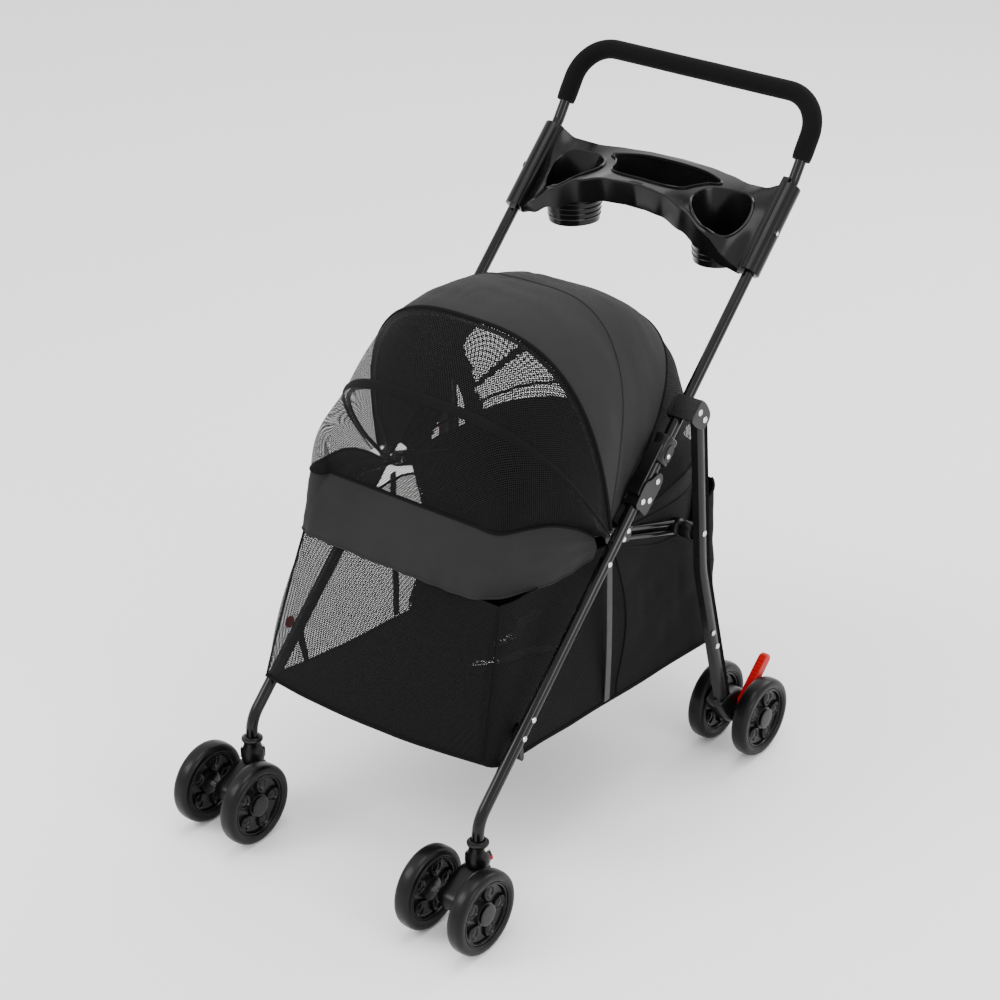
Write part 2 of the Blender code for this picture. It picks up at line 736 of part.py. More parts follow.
def rim_tube(parent):
    """U-shaped wire that holds up the cabin's front edge, hung on the front legs."""
    y, z = RAIL_PIVOT
    arm_start = (y - 0.010, z + 0.001)
    half = [
        Vector((RIM_X, *arm_start)),
        Vector((RIM_X, *RIM_BEND)),
        Vector((RAIL_X - 0.045, *RIM_FRONT)),
    ]
    corners = half + [Vector((-p.x, p.y, p.z)) for p in reversed(half)]
    obj = finished("rim_tube", tube(rounded_path(corners, 0.05), RAIL_R - 0.0005, 10), gloss_tube(), parent)
    for _, side in SIDES:
        low, high = spanned(side, RIM_X - 0.001, RAIL_X - 0.0002)
        boolean(obj, "UNION", side_prism(disc_outline(RAIL_PIVOT, 0.008, 14), low, high))
        low, high = spanned(side, RIM_X - 0.001, RIM_X + 0.0040)
        arm = [(y - 0.020, z - 0.004), (y, z - 0.004), (y, z + 0.006), (y - 0.020, z + 0.006)]
        boolean(obj, "UNION", side_prism(arm, low, high))
        boolean(obj, "DIFFERENCE", rail_pin_hole(side))


# ---- Rear frame ------------------------------------------------------------------------------
LEG_KNEE = (0.1435, 0.332)
LEG_FOOT = (0.193, 0.1005)


def rear_leg(side_name, side, parent):
    """Flat-oval leg that bends back and outward below the basket."""
    x = side * (LEG_IN + LEG_THICK / 2)
    run = (Vector(RAIL_END) - Vector(LEG_PIVOT)).normalized()
    top = Vector(LEG_PIVOT) - run * LEG_WIDE / 2
    path = rounded_path([(x, *top), (x, *LEG_KNEE), (x, *LEG_FOOT)], 0.25, 4)
    across = Vector((1, 0, 0))
    bm = bmesh.new()
    rings = []
    for point, along in zip(path, directions(path)):
        rings.append(ring_of(bm, point, along.cross(across), across, oval(LEG_WIDE, LEG_THICK, 16)))
    bridge(bm, rings)
    for vert in rings[-1]:
        vert.co.x += side * REAR_X - x
    obj = finished(f"rear_leg_{side_name}", bm, satin_grey(), parent)
    drilled(obj, x, LEG_PIVOT, PIN_R)


BRACKET_X = (0.2142, 0.2435)
LEVER_X = (0.2448, 0.2578)
LEVER_PIVOT = (0.226, 0.080)


def wheel_bracket(side_name, side, parent):
    """Plastic body between the rear wheels, under the leg's foot."""
    outline = [(0.1785, 0.0965), (0.2065, 0.1020), (0.240, 0.094), (0.262, 0.070), (0.258, 0.050)]
    outline += [(0.240, 0.040), (0.215, 0.045), (0.190, 0.075)]
    low, high = spanned(side, *BRACKET_X)
    obj = finished(f"wheel_bracket_{side_name}", side_prism(outline, low, high), black_plastic(), parent)
    place = (REAR_AXLE_Y, WHEEL_R)
    mid = side * sum(BRACKET_X) / 2
    drilled(obj, mid, place, AXLE_R)


def brake_lever(side_name, side):
    """Red lever beside the wheel bracket, pressed down to brake."""
    low, high = spanned(side, *LEVER_X)
    outline = [(0.219, 0.085), (0.2215, 0.0735), (0.2330, 0.0755), (0.2870, 0.1265), (0.2890, 0.1315)]
    outline += [(0.2850, 0.1365), (0.2780, 0.1375), (0.2740, 0.1345)]
    lever_pivot = pivot(f"brake_pivot_{side_name}", side * LEVER_X[0], *LEVER_PIVOT)
    finished(f"brake_lever_{side_name}", side_prism(outline, low, high), red_plastic(), lever_pivot)


HOOK_PIVOT = (0.1266, 0.5245)
HOOK_LENGTH = 0.206


def fold_hook():
    """Red strap-like hook that hangs on the right rear leg."""
    y, z = HOOK_PIVOT
    face = LEG_IN + LEG_THICK + 0.0028
    low, high = spanned(-1, face, face + 0.003)
    outline = [(y - 0.007, z + 0.006), (y - 0.003, z + 0.009), (y + 0.003, z + 0.009), (y + 0.007, z + 0.006)]
    tip = z - HOOK_LENGTH
    outline += [(y + 0.006, tip - 0.004), (y + 0.002, tip - 0.010), (y - 0.008, tip - 0.010)]
    outline += [(y - 0.008, tip - 0.004), (y - 0.001, tip), (y - 0.006, tip + 0.012)]
    hook_pivot = pivot("hook_pivot", -face, y, z)
    finished("fold_hook", side_prism(outline, low, high), red_plastic(), hook_pivot)


# ---- Soft goods ------------------------------------------------------------------------------
def cabin():
    """Open-topped fabric tub between the rails, the front rim and the basket's wire."""
    outer = [(-0.296, 0.2080), (-0.100, 0.1900), (0.258, 0.1640), (0.264, 0.250), (0.264, 0.409)]
    outer += [(0.180, 0.352), (0.140, 0.352), (0.120, 0.362), (-0.040, 0.427), (-0.246, 0.427)]
    inner = [(-0.2925, 0.2105), (-0.100, 0.1932), (0.2545, 0.1674), (0.2605, 0.250), (0.2605, 0.50)]
    inner += [(-0.2330, 0.50), (-0.2425, 0.427)]
    obj = finished("cabin", side_prism(outer, -CABIN_X, CABIN_X), black_fabric())
    boolean(obj, "DIFFERENCE", side_prism(inner, -CABIN_X + CLOTH, CABIN_X - CLOTH))


BAND_LOW = 0.430
BAND_HIGH = 0.0795
BAND_BACK = -0.066
BAND_SIDE = -0.150
BAND_FRONT = -0.2495
BAND_EASE = 0.045  # how far the band's left front corner is eased; the right one is pulled square
BAND_RIGHT_X = 0.1885
BAND_BENDS = (0.15, 0.06, 0.03)


def band_rings():
    """Sections of the rim band along its run: outer foot, outer top, inner top and inner foot."""
    plan = [(BAND_X, BAND_BACK), (BAND_X, BAND_SIDE), (BAND_X - BAND_EASE, BAND_FRONT)]
    plan += [(-BAND_RIGHT_X, BAND_FRONT), (-BAND_RIGHT_X, BAND_BACK)]
    path = rounded_path([(x, y, BAND_LOW) for x, y in plan], BAND_BENDS, 7)
    rings = []
    for point, along in zip(path, directions(path)):
        inward = along.cross(Vector((0, 0, 1))).normalized()
        lean = 0.03 + 0.47 * max(0.0, inward.y)
        run = min(1.0, (BAND_BACK - point.y) / (BAND_BACK - BAND_SIDE))
        height = BAND_HIGH * (0.4 + 0.6 * run)
        top = point + inward * (lean * height) + Vector((0, 0, height))
        rings.append([point, top, top + inward * CLOTH, point + inward * CLOTH])
    return rings


def rim_band():
    """Wide fabric band over the rim wire: tall in front, falling away along the sides."""
    bm = bmesh.new()
    bridge(bm, [[bm.verts.new(corner) for corner in ring] for ring in band_rings()])
    finished("rim_band", bm, grey_fabric())


ARCH_FOOT = math.radians(9)


def arch(radius, width, power, count):
    """(x, radius) points of a canopy arch from the left side over the top to the right."""
    points = []
    for i in range(count + 1):
        angle = ARCH_FOOT + (math.pi - 2 * ARCH_FOOT) * i / count
        c = math.cos(angle)
        s = math.sin(angle)
        x = width * math.copysign(abs(c) ** (2 / power), c)
        points.append((x, radius * s ** (2 / power)))
    return points


def arch_ring(degrees, radius, width, power, inset=0.0, count=12):
    """Points of the arch that stands at this angle about the canopy's pivot line."""
    angle = math.radians(degrees)
    out = Vector((0, math.cos(angle), math.sin(angle)))
    base = Vector((0, *CANOPY_PIVOT))
    points = arch(radius - inset, width - inset, power, count)
    return [base + Vector((x, 0, 0)) + out * r for x, r in points]


def canopy_shell(name, sections, look, parent=None):
    """A curved sheet through arches at several angles about the canopy's pivot line."""
    bm = bmesh.new()
    rings = []
    for section in sections:
        outer = arch_ring(*section)
        inner = arch_ring(*section, CLOTH)
        rings.append([bm.verts.new(point) for point in outer + list(reversed(inner))])
    bridge(bm, rings)
    finished(name, bm, look, parent)


# angle above the rear horizon, radius, half width and squareness of each arch
FRONT_HOOP = (100.0, 0.295, 0.203, 2.9)
MIDDLE_HOOP = (125.0, 0.253, 0.208, 2.9)
HOOD_BACK = (38.0, 0.328, 0.188, 3.2)


def turned_by(section, degrees):
    """The same arch a little further round."""
    return (section[0] + degrees, *section[1:])


def canopy_hoop(name, section, foot_x, parent):
    """Wire arch just inside the fabric, with its feet at the canopy's pivot line."""
    angle = math.radians(section[0])
    out = Vector((0, math.cos(angle), math.sin(angle)))
    foot = Vector((foot_x, *CANOPY_PIVOT)) + out * 0.018
    path = [foot] + arch_ring(*section, CLOTH + HOOP_R + 2 * GAP)
    path.append(Vector((-foot.x, foot.y, foot.z)))
    finished(name, tube(path, HOOP_R, 8), gloss_tube(), parent)


def dome_lower(parent):
    """Mesh sheet from the top edge of the rim band up to the middle hoop."""
    clear = Vector((0, 0, 0.0026))
    lower = [ring[1] + clear for ring in band_rings()]
    upper = arch_ring(*turned_by(MIDDLE_HOOP, 0.4), count=len(lower) - 1)
    heart = Vector((0, CANOPY_PIVOT[0], CANOPY_PIVOT[1] + 0.02))
    bm = bmesh.new()
    rings = []
    for low, high in zip(lower, upper):
        outer = []
        inner = []
        for share, swell in ((0.0, 0.0), (0.33, 0.010), (0.67, 0.010), (1.0, 0.0)):
            point = low.lerp(high, share)
            away = (point - heart).normalized()
            outer.append(bm.verts.new(point + away * swell))
            inner.append(bm.verts.new(point + away * (swell - CLOTH)))
        rings.append(outer + list(reversed(inner)))
    bridge(bm, rings)
    finished("dome_lower", bm, mesh_fabric(), parent)


def canopy(front_pivot, middle_pivot):
    """Solid hood between the front hoop and the back, and the mesh dome in front of it."""
    hood = [turned_by(FRONT_HOOP, -0.3), (86, 0.304, 0.198, 3.0), (70, 0.313, 0.191, 3.1)]
    hood += [(54, 0.322, 0.188, 3.2), HOOD_BACK]
    canopy_shell("canopy_hood", hood, grey_fabric(), front_pivot)
    upper = [turned_by(MIDDLE_HOOP, -0.4), (112, 0.277, 0.206, 2.9), turned_by(FRONT_HOOP, 0.4)]
    canopy_shell("dome_upper", upper, mesh_fabric(), middle_pivot)
    dome_lower(middle_pivot)
    back = [turned_by(HOOD_BACK, -0.6), (24, 0.328, 0.187, 3.4), (10, 0.324, 0.187, 3.6)]
    back += [(-6.3, 0.316, 0.187, 3.8)]
    canopy_shell("back_panel", back, black_fabric())
    canopy_hoop("front_hoop", FRONT_HOOP, FRONT_FOOT_X, front_pivot)
    canopy_hoop("middle_hoop", MIDDLE_HOOP, MIDDLE_FOOT_X, middle_pivot)


# ---- Assembly --------------------------------------------------------------------------------
def build():
    clear_scene()
    handle = pivot("handle_pivot", 0.0, *FOLD)
    rear = pivot("rear_leg_pivot", 0.0, *LEG_PIVOT)
    rail = pivot("rail_pivot", 0.0, *RAIL_PIVOT)
    rim = pivot("rim_pivot", 0.0, *RAIL_PIVOT)
    basket = pivot("basket_pivot", 0.0, *BASKET_PIVOT)
    canopy_front = pivot("canopy_pivot", 0.0, *CANOPY_PIVOT)
    canopy_middle = pivot("middle_hoop_pivot", 0.0, *CANOPY_PIVOT)
    for side_name, side in SIDES:
        front_leg(side_name, side)
        fold_bracket(side_name, side)
        cross_pin(f"fold_pin_{side_name}", side, TUBE_X - 0.0125, TUBE_X + 0.0125, FOLD)
        caster_socket(side_name, side)
        caster(side_name, side)
        hanger_strap(side_name, side)
        tray_clamp(side_name, side, handle)
        leg_bracket(side_name, side, handle)
        pin_end = LEG_IN + LEG_THICK + 0.001 + PLATE + GAP
        cross_pin(f"leg_pin_{side_name}", side, TUBE_X - 0.0125, pin_end, LEG_PIVOT, handle)
        lock_sleeve(side_name, side)
        seat_rail(side_name, side, rail)
        rail_pin(side_name, side)
        rear_leg(side_name, side, rear)
        wheel_bracket(side_name, side, rear)
        x = side * REAR_X
        axle_with_caps(f"rear_axle_{side_name}", x, REAR_AXLE_Y, REAR_WHEEL_OFFSET + 0.0115, rear)
        spin = pivot(f"rear_axle_pivot_{side_name}", x, REAR_AXLE_Y, WHEEL_R)
        for place, way in (("outer", side), ("inner", -side)):
            wheel_x = x + way * REAR_WHEEL_OFFSET
            wheel(f"rear_wheel_{place}_{side_name}", wheel_x, REAR_AXLE_Y, tyre_black(), spin)
        brake_lever(side_name, side)
    basket_loop(basket)
    fold_post()
    fold_hook()
    handle_tube(handle)
    foam_grip(handle)
    tray(handle)
    rim_tube(rim)
    cabin()
    rim_band()
    canopy(canopy_front, canopy_middle)


build()
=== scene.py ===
"""Looks of the folding pet stroller: fabric, mesh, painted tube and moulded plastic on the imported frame."""

import json
import math

import bmesh
import bpy
import numpy as np
from mathutils import Matrix, Vector, noise


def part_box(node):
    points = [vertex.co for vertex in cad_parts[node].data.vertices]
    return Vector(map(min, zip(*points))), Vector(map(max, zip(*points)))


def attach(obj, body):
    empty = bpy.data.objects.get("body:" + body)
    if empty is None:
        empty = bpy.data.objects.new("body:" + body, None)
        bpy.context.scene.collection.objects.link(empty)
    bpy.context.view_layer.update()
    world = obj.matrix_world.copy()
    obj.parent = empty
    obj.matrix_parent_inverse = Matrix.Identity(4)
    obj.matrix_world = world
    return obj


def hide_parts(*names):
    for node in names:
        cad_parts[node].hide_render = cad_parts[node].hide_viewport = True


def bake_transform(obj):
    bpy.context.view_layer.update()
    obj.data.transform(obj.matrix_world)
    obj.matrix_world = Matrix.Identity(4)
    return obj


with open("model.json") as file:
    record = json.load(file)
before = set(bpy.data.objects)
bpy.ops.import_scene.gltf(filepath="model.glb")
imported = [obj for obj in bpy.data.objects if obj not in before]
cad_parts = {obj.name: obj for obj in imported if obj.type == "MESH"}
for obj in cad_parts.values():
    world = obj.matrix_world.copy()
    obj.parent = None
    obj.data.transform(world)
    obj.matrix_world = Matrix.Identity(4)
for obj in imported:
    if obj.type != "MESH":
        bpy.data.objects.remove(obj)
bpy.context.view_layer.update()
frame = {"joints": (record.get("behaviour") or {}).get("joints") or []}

SIDES = (("left", 1), ("right", -1))
AXIS_X = Vector((1, 0, 0))
AXIS_Z = Vector((0, 0, 1))
JOINTS = {joint["name"]: joint for joint in frame["joints"]}
CLEARANCE = 0.0004  # between a bore or web and the tube in it


# ---- Places from the frame -------------------------------------------------------------------
def joint_yz(name):
    """y and z of a joint's axis."""
    return tuple(JOINTS[name]["pos_m"][1:])


def span(node):
    """Middle and half size of a node's box."""
    low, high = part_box(node)
    return (low + high) / 2, (high - low) / 2


def middle(node):
    return span(node)[0]


def mm(*rows):
    """Rows of millimetres as metres."""
    return [tuple(value / 1000 for value in row) for row in rows]


def near(place, *pairs):
    """Points given in millimetres from a place."""
    return [(place[0] + a, place[1] + b) for a, b in mm(*pairs)]


LEG_PIVOT = joint_yz("rear_leg_fold")
RAIL_PIVOT = joint_yz("seat_rail_fold")
BASKET_PIVOT = joint_yz("basket_fold")
CANOPY_PIVOT = joint_yz("canopy_tilt")
HOOK_PIVOT = joint_yz("hook_swing")
SLOPE = math.radians(44.5)
TUBE_X = middle("front_leg_left").x
LEG_R = span("front_leg_left")[1].x
HANDLE_R = 0.008
WHEEL_R = middle("front_wheel_outer_left").z
CABIN_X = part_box("cabin")[1].x


def on_slope(along, across):
    """y and z of a point given along and across the slope of the front legs."""
    y = along * math.cos(SLOPE) - across * math.sin(SLOPE)
    z = along * math.sin(SLOPE) + across * math.cos(SLOPE)
    return (y, z)


def to_slope(place):
    """Along and across the slope of a point's y and z."""
    y, z = place
    return (y * math.cos(SLOPE) + z * math.sin(SLOPE), z * math.cos(SLOPE) - y * math.sin(SLOPE))


LEG_NORMAL = to_slope(RAIL_PIVOT)[1]
HANDLE_NORMAL = LEG_NORMAL - 0.004


# ---- Materials -------------------------------------------------------------------------------
class Shader:
    """A material's node tree with short calls for what the looks need."""

    def __init__(self, name, colour, roughness, metallic=0.0):
        self.material = bpy.data.materials.new(name)
        self.material.use_nodes = True
        self.tree = self.material.node_tree
        self.surface = self.tree.nodes["Principled BSDF"]
        self.colour = colour
        self.surface.inputs["Base Color"].default_value = (*colour, 1.0)
        self.set(Roughness=roughness, Metallic=metallic)
        self.place = self.node("ShaderNodeTexCoord").outputs["Object"]
        self.cloth = self.node("ShaderNodeTexCoord").outputs["UV"]
        self.height = None

    def set(self, **values):
        for key, value in values.items():
            self.surface.inputs[key.replace("_", " ")].default_value = value

    def node(self, kind, **inputs):
        made = self.tree.nodes.new(kind)
        for key, value in inputs.items():
            made.inputs[key.replace("_", " ")].default_value = value
        return made

    def link(self, output, target):
        self.tree.links.new(output, target)

    def math(self, operation, first, second=None):
        made = self.tree.nodes.new("ShaderNodeMath")
        made.operation = operation
        for value, target in ((first, made.inputs[0]), (second, made.inputs[1])):
            if isinstance(value, (int, float)):
                target.default_value = value
            elif value is not None:
                self.link(value, target)
        return made.outputs[0]

    def noise(self, scale, detail, where=None, distortion=0.0):
        made = self.node("ShaderNodeTexNoise", Scale=scale, Detail=detail, Distortion=distortion)
        self.link(where or self.place, made.inputs["Vector"])
        return made.outputs["Fac"]

    def ranged(self, value, low, high, from_low=0.3, from_high=0.7):
        made = self.node(
            "ShaderNodeMapRange", From_Min=from_low, From_Max=from_high, To_Min=low, To_Max=high
        )
        self.link(value, made.inputs["Value"])
        return made.outputs["Result"]

    def tint(self, value, darker, lighter):
        """Base colour from darker to lighter times the material's colour, with a 0 to 1 value."""
        ramp = self.tree.nodes.new("ShaderNodeMix")
        ramp.data_type = "RGBA"
        ramp.inputs[6].default_value = (*[c * darker for c in self.colour], 1.0)
        ramp.inputs[7].default_value = (*[c * lighter for c in self.colour], 1.0)
        self.link(value, ramp.inputs[0])
        self.link(ramp.outputs[2], self.surface.inputs["Base Color"])

    def rough(self, value, low, high):
        self.link(self.ranged(value, low, high), self.surface.inputs["Roughness"])

    def bump(self, height, strength, distance):
        made = self.node("ShaderNodeBump", Strength=strength, Distance=distance)
        self.link(height, made.inputs["Height"])
        if self.height:
            self.link(self.height, made.inputs["Normal"])
        self.height = made.outputs["Normal"]
        self.link(self.height, self.surface.inputs["Normal"])

    def worn(self, rough, tint, grain, distortion=0.0):
        """Uneven roughness, colour and grain. Each is a noise's scale and detail, then its two values."""
        self.rough(self.noise(*rough[:2]), *rough[2:])
        self.tint(self.ranged(self.noise(*tint[:2], distortion=distortion), 0, 1), *tint[2:])
        self.bump(self.noise(*grain[:2]), *grain[2:])
        return self.material

    def threads(self, pitch, turn=0.0):
        """Two sines across the cloth, one for each set of threads, from its UV map in metres."""
        scaled = self.node("ShaderNodeMapping", Rotation=(0, 0, turn))
        scaled.inputs["Scale"].default_value = (math.pi / pitch, math.pi / pitch, 1)
        self.link(self.cloth, scaled.inputs["Vector"])
        split = self.node("ShaderNodeSeparateXYZ")
        self.link(scaled.outputs["Vector"], split.inputs["Vector"])
        return self.math("SINE", split.outputs["X"]), self.math("SINE", split.outputs["Y"])


def painted(name, colour, low, high, metallic):
    """Powder paint on steel: a faint orange peel, dust in the roughness and a clear coat."""
    made = Shader(name, colour, low, metallic)
    made.set(Coat_Weight=0.08, Coat_Roughness=0.08, Specular_IOR_Level=0.18)
    return made.worn((38, 4, low, high), (14, 5, 0.8, 1.35), (900, 2, 0.05, 0.0004))


def steel(name):
    made = Shader(name, (0.70, 0.70, 0.68), 0.22, 1.0)
    return made.worn((320, 4, 0.16, 0.36), (60, 4, 0.75, 1.1), (1500, 2, 0.06, 0.0003))


def moulded(name, colour, low, high, grain=0.08, lighter=1.3):
    """Injection-moulded plastic: fine grain, flow marks and rubbed patches."""
    made = Shader(name, colour, low)
    made.set(Specular_IOR_Level=0.20)
    return made.worn((26, 5, low, high), (9, 6, 0.8, lighter), (1300, 2, grain, 0.0004), 0.6)


def rubber(name):
    made = Shader(name, (0.0018, 0.0018, 0.0019), 0.34)
    made.set(Coat_Weight=0.08, Coat_Roughness=0.14, Specular_IOR_Level=0.14)
    return made.worn((45, 5, 0.3, 0.5), (22, 6, 0.8, 1.6), (700, 3, 0.12, 0.0005))


def foam(name):
    made = Shader(name, (0.0018, 0.0018, 0.0018), 0.95)
    made.set(Sheen_Weight=0.008, Sheen_Roughness=0.6, Specular_IOR_Level=0.1)
    cells = made.node("ShaderNodeTexVoronoi", Scale=900)
    made.link(made.place, cells.inputs["Vector"])
    # painted shade: the colour darkens towards each cell's middle, where the bump sinks into a pit
    made.tint(made.ranged(cells.outputs["Distance"], 0, 1, 0.1, 0.7), 0.7, 1.5)
    made.bump(cells.outputs["Distance"], 0.45, 0.0006)
    return made.material


def woven(name, colour, pitch, sheen, lighter=1.25):
    """Plain-weave polyester: crossing yarns, uneven yarn colour, soft fading and painted shade in the hollows
    of the weave.
    """
    made = Shader(name, colour, 0.8)
    made.set(Sheen_Weight=sheen, Sheen_Roughness=0.55, Specular_IOR_Level=0.08)
    first, second = made.threads(pitch)
    weave = made.math("MULTIPLY", first, second)
    yarn = made.noise(420, 2, made.cloth)
    fade = made.noise(7, 5)
    mixed = made.math("ADD", made.math("MULTIPLY", yarn, 0.35), made.math("MULTIPLY", fade, 0.65))
    # tone from the yarn and fading noise, plus painted shade: darker colour where the weave's height is low
    shade = made.math("ADD", made.ranged(mixed, 0, 1), made.math("MULTIPLY", weave, 0.16))
    made.tint(shade, 0.78, lighter)
    made.rough(yarn, 0.7, 0.9)
    made.bump(made.noise(55, 4), 0.18, 0.0015)
    made.bump(weave, 0.4, 0.0003)
    return made.material


def netting(name, pitch, turn, hold):
    """Open polyester net: round holes between the threads, seen through."""
    made = Shader(name, (0.0030, 0.0030, 0.0032), 0.7)
    made.set(Specular_IOR_Level=0.12)
    first, second = made.threads(pitch, turn)
    rise = made.math("MULTIPLY", made.math("ABSOLUTE", first), made.math("ABSOLUTE", second))
    made.link(made.math("LESS_THAN", rise, hold), made.surface.inputs["Alpha"])
    made.tint(made.ranged(made.noise(240, 3, made.cloth), 0, 1), 0.7, 1.6)
    made.bump(rise, 0.5, 0.0004)
    return made.material


def webbing(name, colour):
    """Ribbed strap webbing, with painted shade: its colour darkens in the grooves between the ribs."""
    made = Shader(name, colour, 0.7)
    made.set(Sheen_Weight=0.06)
    first, second = made.threads(0.0016)
    ribs = made.math("MAXIMUM", made.math("ABSOLUTE", first), made.math("MULTIPLY", second, 0.6))
    # painted shade: darker colour where the ribs' height is low, in the grooves
    made.tint(made.ranged(ribs, 0, 1, 0.1, 0.95), 0.7, 1.25)
    made.rough(made.noise(60, 4), 0.6, 0.8)
    made.bump(ribs, 0.5, 0.0005)
    return made.material


GLOSS = painted("gloss_black_paint", (0.0025, 0.0025, 0.0027), 0.12, 0.24, 0.0)
SATIN = painted("satin_grey_paint", (0.0105, 0.0105, 0.011), 0.24, 0.38, 0.3)
STEEL = steel("plated_steel")
PLASTIC = moulded("black_plastic_grained", (0.0030, 0.0030, 0.0032), 0.24, 0.40)
TRAY_PLASTIC = moulded("black_plastic_polished", (0.0030, 0.0030, 0.0032), 0.15, 0.28, 0.04)
HUB_PLASTIC = moulded("hub_plastic", (0.0045, 0.0045, 0.0048), 0.18, 0.34, 0.06)
RED = moulded("red_plastic_moulded", (0.36, 0.0005, 0.0015), 0.30, 0.44, 0.03, 1.08)
TYRE = rubber("tyre_rubber")
FOAM = foam("grip_foam")
CHARCOAL = woven("charcoal_oxford", (0.0156, 0.0156, 0.0163), 0.0011, 0.03)
BLACK_CLOTH = woven("black_oxford", (0.0029, 0.0029, 0.0030), 0.0011, 0.008, 1.5)
PIPING = woven("piping_cloth", (0.0022, 0.0022, 0.0024), 0.0009, 0.012)
NET = netting("black_net", 0.0024, 0.6, 0.54)
STRAP = webbing("grey_webbing", (0.015, 0.015, 0.0158))
BLACK_STRAP = webbing("black_webbing", (0.0055, 0.0055, 0.0055))


# ---- Pieces ----------------------------------------------------------------------------------
def shown(name, bm, looks, body=None, stands_for=None, slot=None, smooth=40.0, bevel=0.0):
    """A named piece from a bmesh, riding on its body and standing for its CAD node."""
    bmesh.ops.remove_doubles(bm, verts=bm.verts, dist=2e-6)
    mesh = bpy.data.meshes.new(name)
    bm.to_mesh(mesh)
    bm.free()
    for look in looks if isinstance(looks, list) else [looks]:
        mesh.materials.append(look)
    mesh.shade_smooth()
    mesh.set_sharp_from_angle(angle=math.radians(smooth))
    obj = bpy.data.objects.new(name, mesh)
    bpy.context.scene.collection.objects.link(obj)
    if bevel:
        rounding = obj.modifiers.new("edges", "BEVEL")
        rounding.width = bevel
        rounding.segments = 2
        rounding.limit_method = "ANGLE"
        rounding.angle_limit = math.radians(38)
        rounding.harden_normals = True
    if stands_for:
        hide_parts(stands_for)
    if slot or stands_for:
        slot or stands_for
    if body:
        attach(obj, body)
    return obj


def outward(bm):
    bmesh.ops.recalc_face_normals(bm, faces=bm.faces)
    return bm


def circle(radius, sides):
    step = 2 * math.pi / sides
    return [(radius * math.cos(step * i), radius * math.sin(step * i)) for i in range(sides)]


def half_stepped(sides):
    """Cosine and sine round a circle that starts half a step in."""
    angles = [2 * math.pi * (i + 0.5) / sides for i in range(sides)]
    return [(math.cos(angle), math.sin(angle)) for angle in angles]


def squircle(half_a, half_b, power, sides):
    """A rounded box outline."""
    bend = lambda value: math.copysign(abs(value) ** (2 / power), value)
    return [(half_a * bend(c), half_b * bend(s)) for c, s in half_stepped(sides)]


def two_arcs(wide, tall, sides):
    """Two facing arcs as tall as the outline. Where it is taller than wide, they cross near its ends."""
    radius = tall / 2
    shift = wide / 2 - radius
    return [(shift * math.copysign(1, c) + radius * c, radius * s) for c, s in half_stepped(sides)]


def oblong(a0, a1, b0, b1):
    return [(a0, b0), (a1, b0), (a1, b1), (a0, b1)]


def rounded_outline(points, count=48):
    return [(p.x, p.y) for p in smooth_curve([(a, b, 0) for a, b in points], count, closed=True)]


def mirrored(points):
    """The points, then their mirror images from the last to the first."""
    points = [Vector(p) for p in points]
    return points + [Vector((-p.x, p.y, p.z)) for p in reversed(points)]


def loft(rings, bm=None, closed=False, caps=True):
    """A skin over rings of points, from each ring to the next."""
    bm = bm or bmesh.new()
    rings = [[bm.verts.new(p) for p in ring] for ring in rings]
    pairs = list(zip(rings, rings[1:]))
    if closed:
        pairs.append((rings[-1], rings[0]))
    for one, two in pairs:
        for i in range(len(one)):
            j = (i + 1) % len(one)
            bm.faces.new((one[i], one[j], two[j], two[i]))
    if caps and not closed:
        bm.faces.new(rings[0][::-1])
        bm.faces.new(rings[-1])
    return bm


def rounded_path(corners, radii, steps=14):
    """The corners' path with each inner corner turned into an arc: one radius, or one for each corner."""
    if isinstance(radii, float):
        radii = [radii] * (len(corners) - 2)
    path = [Vector(corners[0])]
    for before, here, after, radius in zip(corners, corners[1:], corners[2:], radii):
        here = Vector(here)
        back = (Vector(before) - here).normalized()
        onward = (Vector(after) - here).normalized()
        half = back.angle(onward) / 2
        centre = here + (back + onward).normalized() * (radius / math.sin(half))
        start = here + back * (radius / math.tan(half)) - centre
        turn = math.pi - 2 * half
        axis = back.cross(start).normalized()
        path += [centre + Matrix.Rotation(turn * i / steps, 3, axis) @ start for i in range(steps + 1)]
    return path + [Vector(corners[-1])]


def catmull_rom(a, b, c, d, t):
    return 0.5 * ((2 * b) + (c - a) * t + (2 * a - 5 * b + 4 * c - d) * t**2 + (3 * b - a - 3 * c + d) * t**3)


def smooth_curve(points, count, closed=False):
    """Points along a Catmull-Rom curve through the given ones."""
    points = [Vector(p) for p in points]
    total = len(points)
    last = total if closed else total - 1
    found = []
    for i in range(count + (0 if closed else 1)):
        place = last * i / count
        k = min(int(place), last - 1)
        picks = [(k + n) % total if closed else min(max(k + n, 0), total - 1) for n in (-1, 0, 1, 2)]
        found.append(catmull_rom(*(points[pick] for pick in picks), place - k))
    return found


def finely(path, pitch):
    """The path with points about the pitch apart."""
    fine = []
    for a, b in zip(path, path[1:]):
        steps = max(1, int((b - a).length / pitch))
        fine += [a.lerp(b, i / steps) for i in range(steps)]
    return fine + [path[-1]]


def directions(path, closed=False):
    last = len(path) - 1
    found = []
    for i in range(len(path)):
        before, after = (i - 1, (i + 1) % len(path)) if closed else (max(i - 1, 0), min(i + 1, last))
        found.append((path[after] - path[before]).normalized())
    return found


def frames(path, up, closed=False):
    """Each point of the path with two directions across it, carried along without twist."""
    first = up
    for point, along in zip(path, directions(path, closed)):
        first = (first - along * first.dot(along)).normalized()
        yield point, first, along.cross(first)


def swept(path, outline, up=AXIS_X, closed=False, bm=None):
    """A solid with the outline carried along the path."""
    rings = []
    for point, first, second in frames(path, up, closed):
        rings.append([point + first * a + second * b for a, b in outline])
    return loft(rings, bm, closed)


def tube(path, radius, sides=24, closed=False, bm=None):
    return swept(path, circle(radius, sides), Vector((0.97, 0.2, 0.1)), closed, bm)


def cylinder(bm, start, end, radius, sides=20):
    return swept([Vector(start), Vector(end)], circle(radius, sides), Vector((0.3, 0.5, 0.8)), bm=bm)


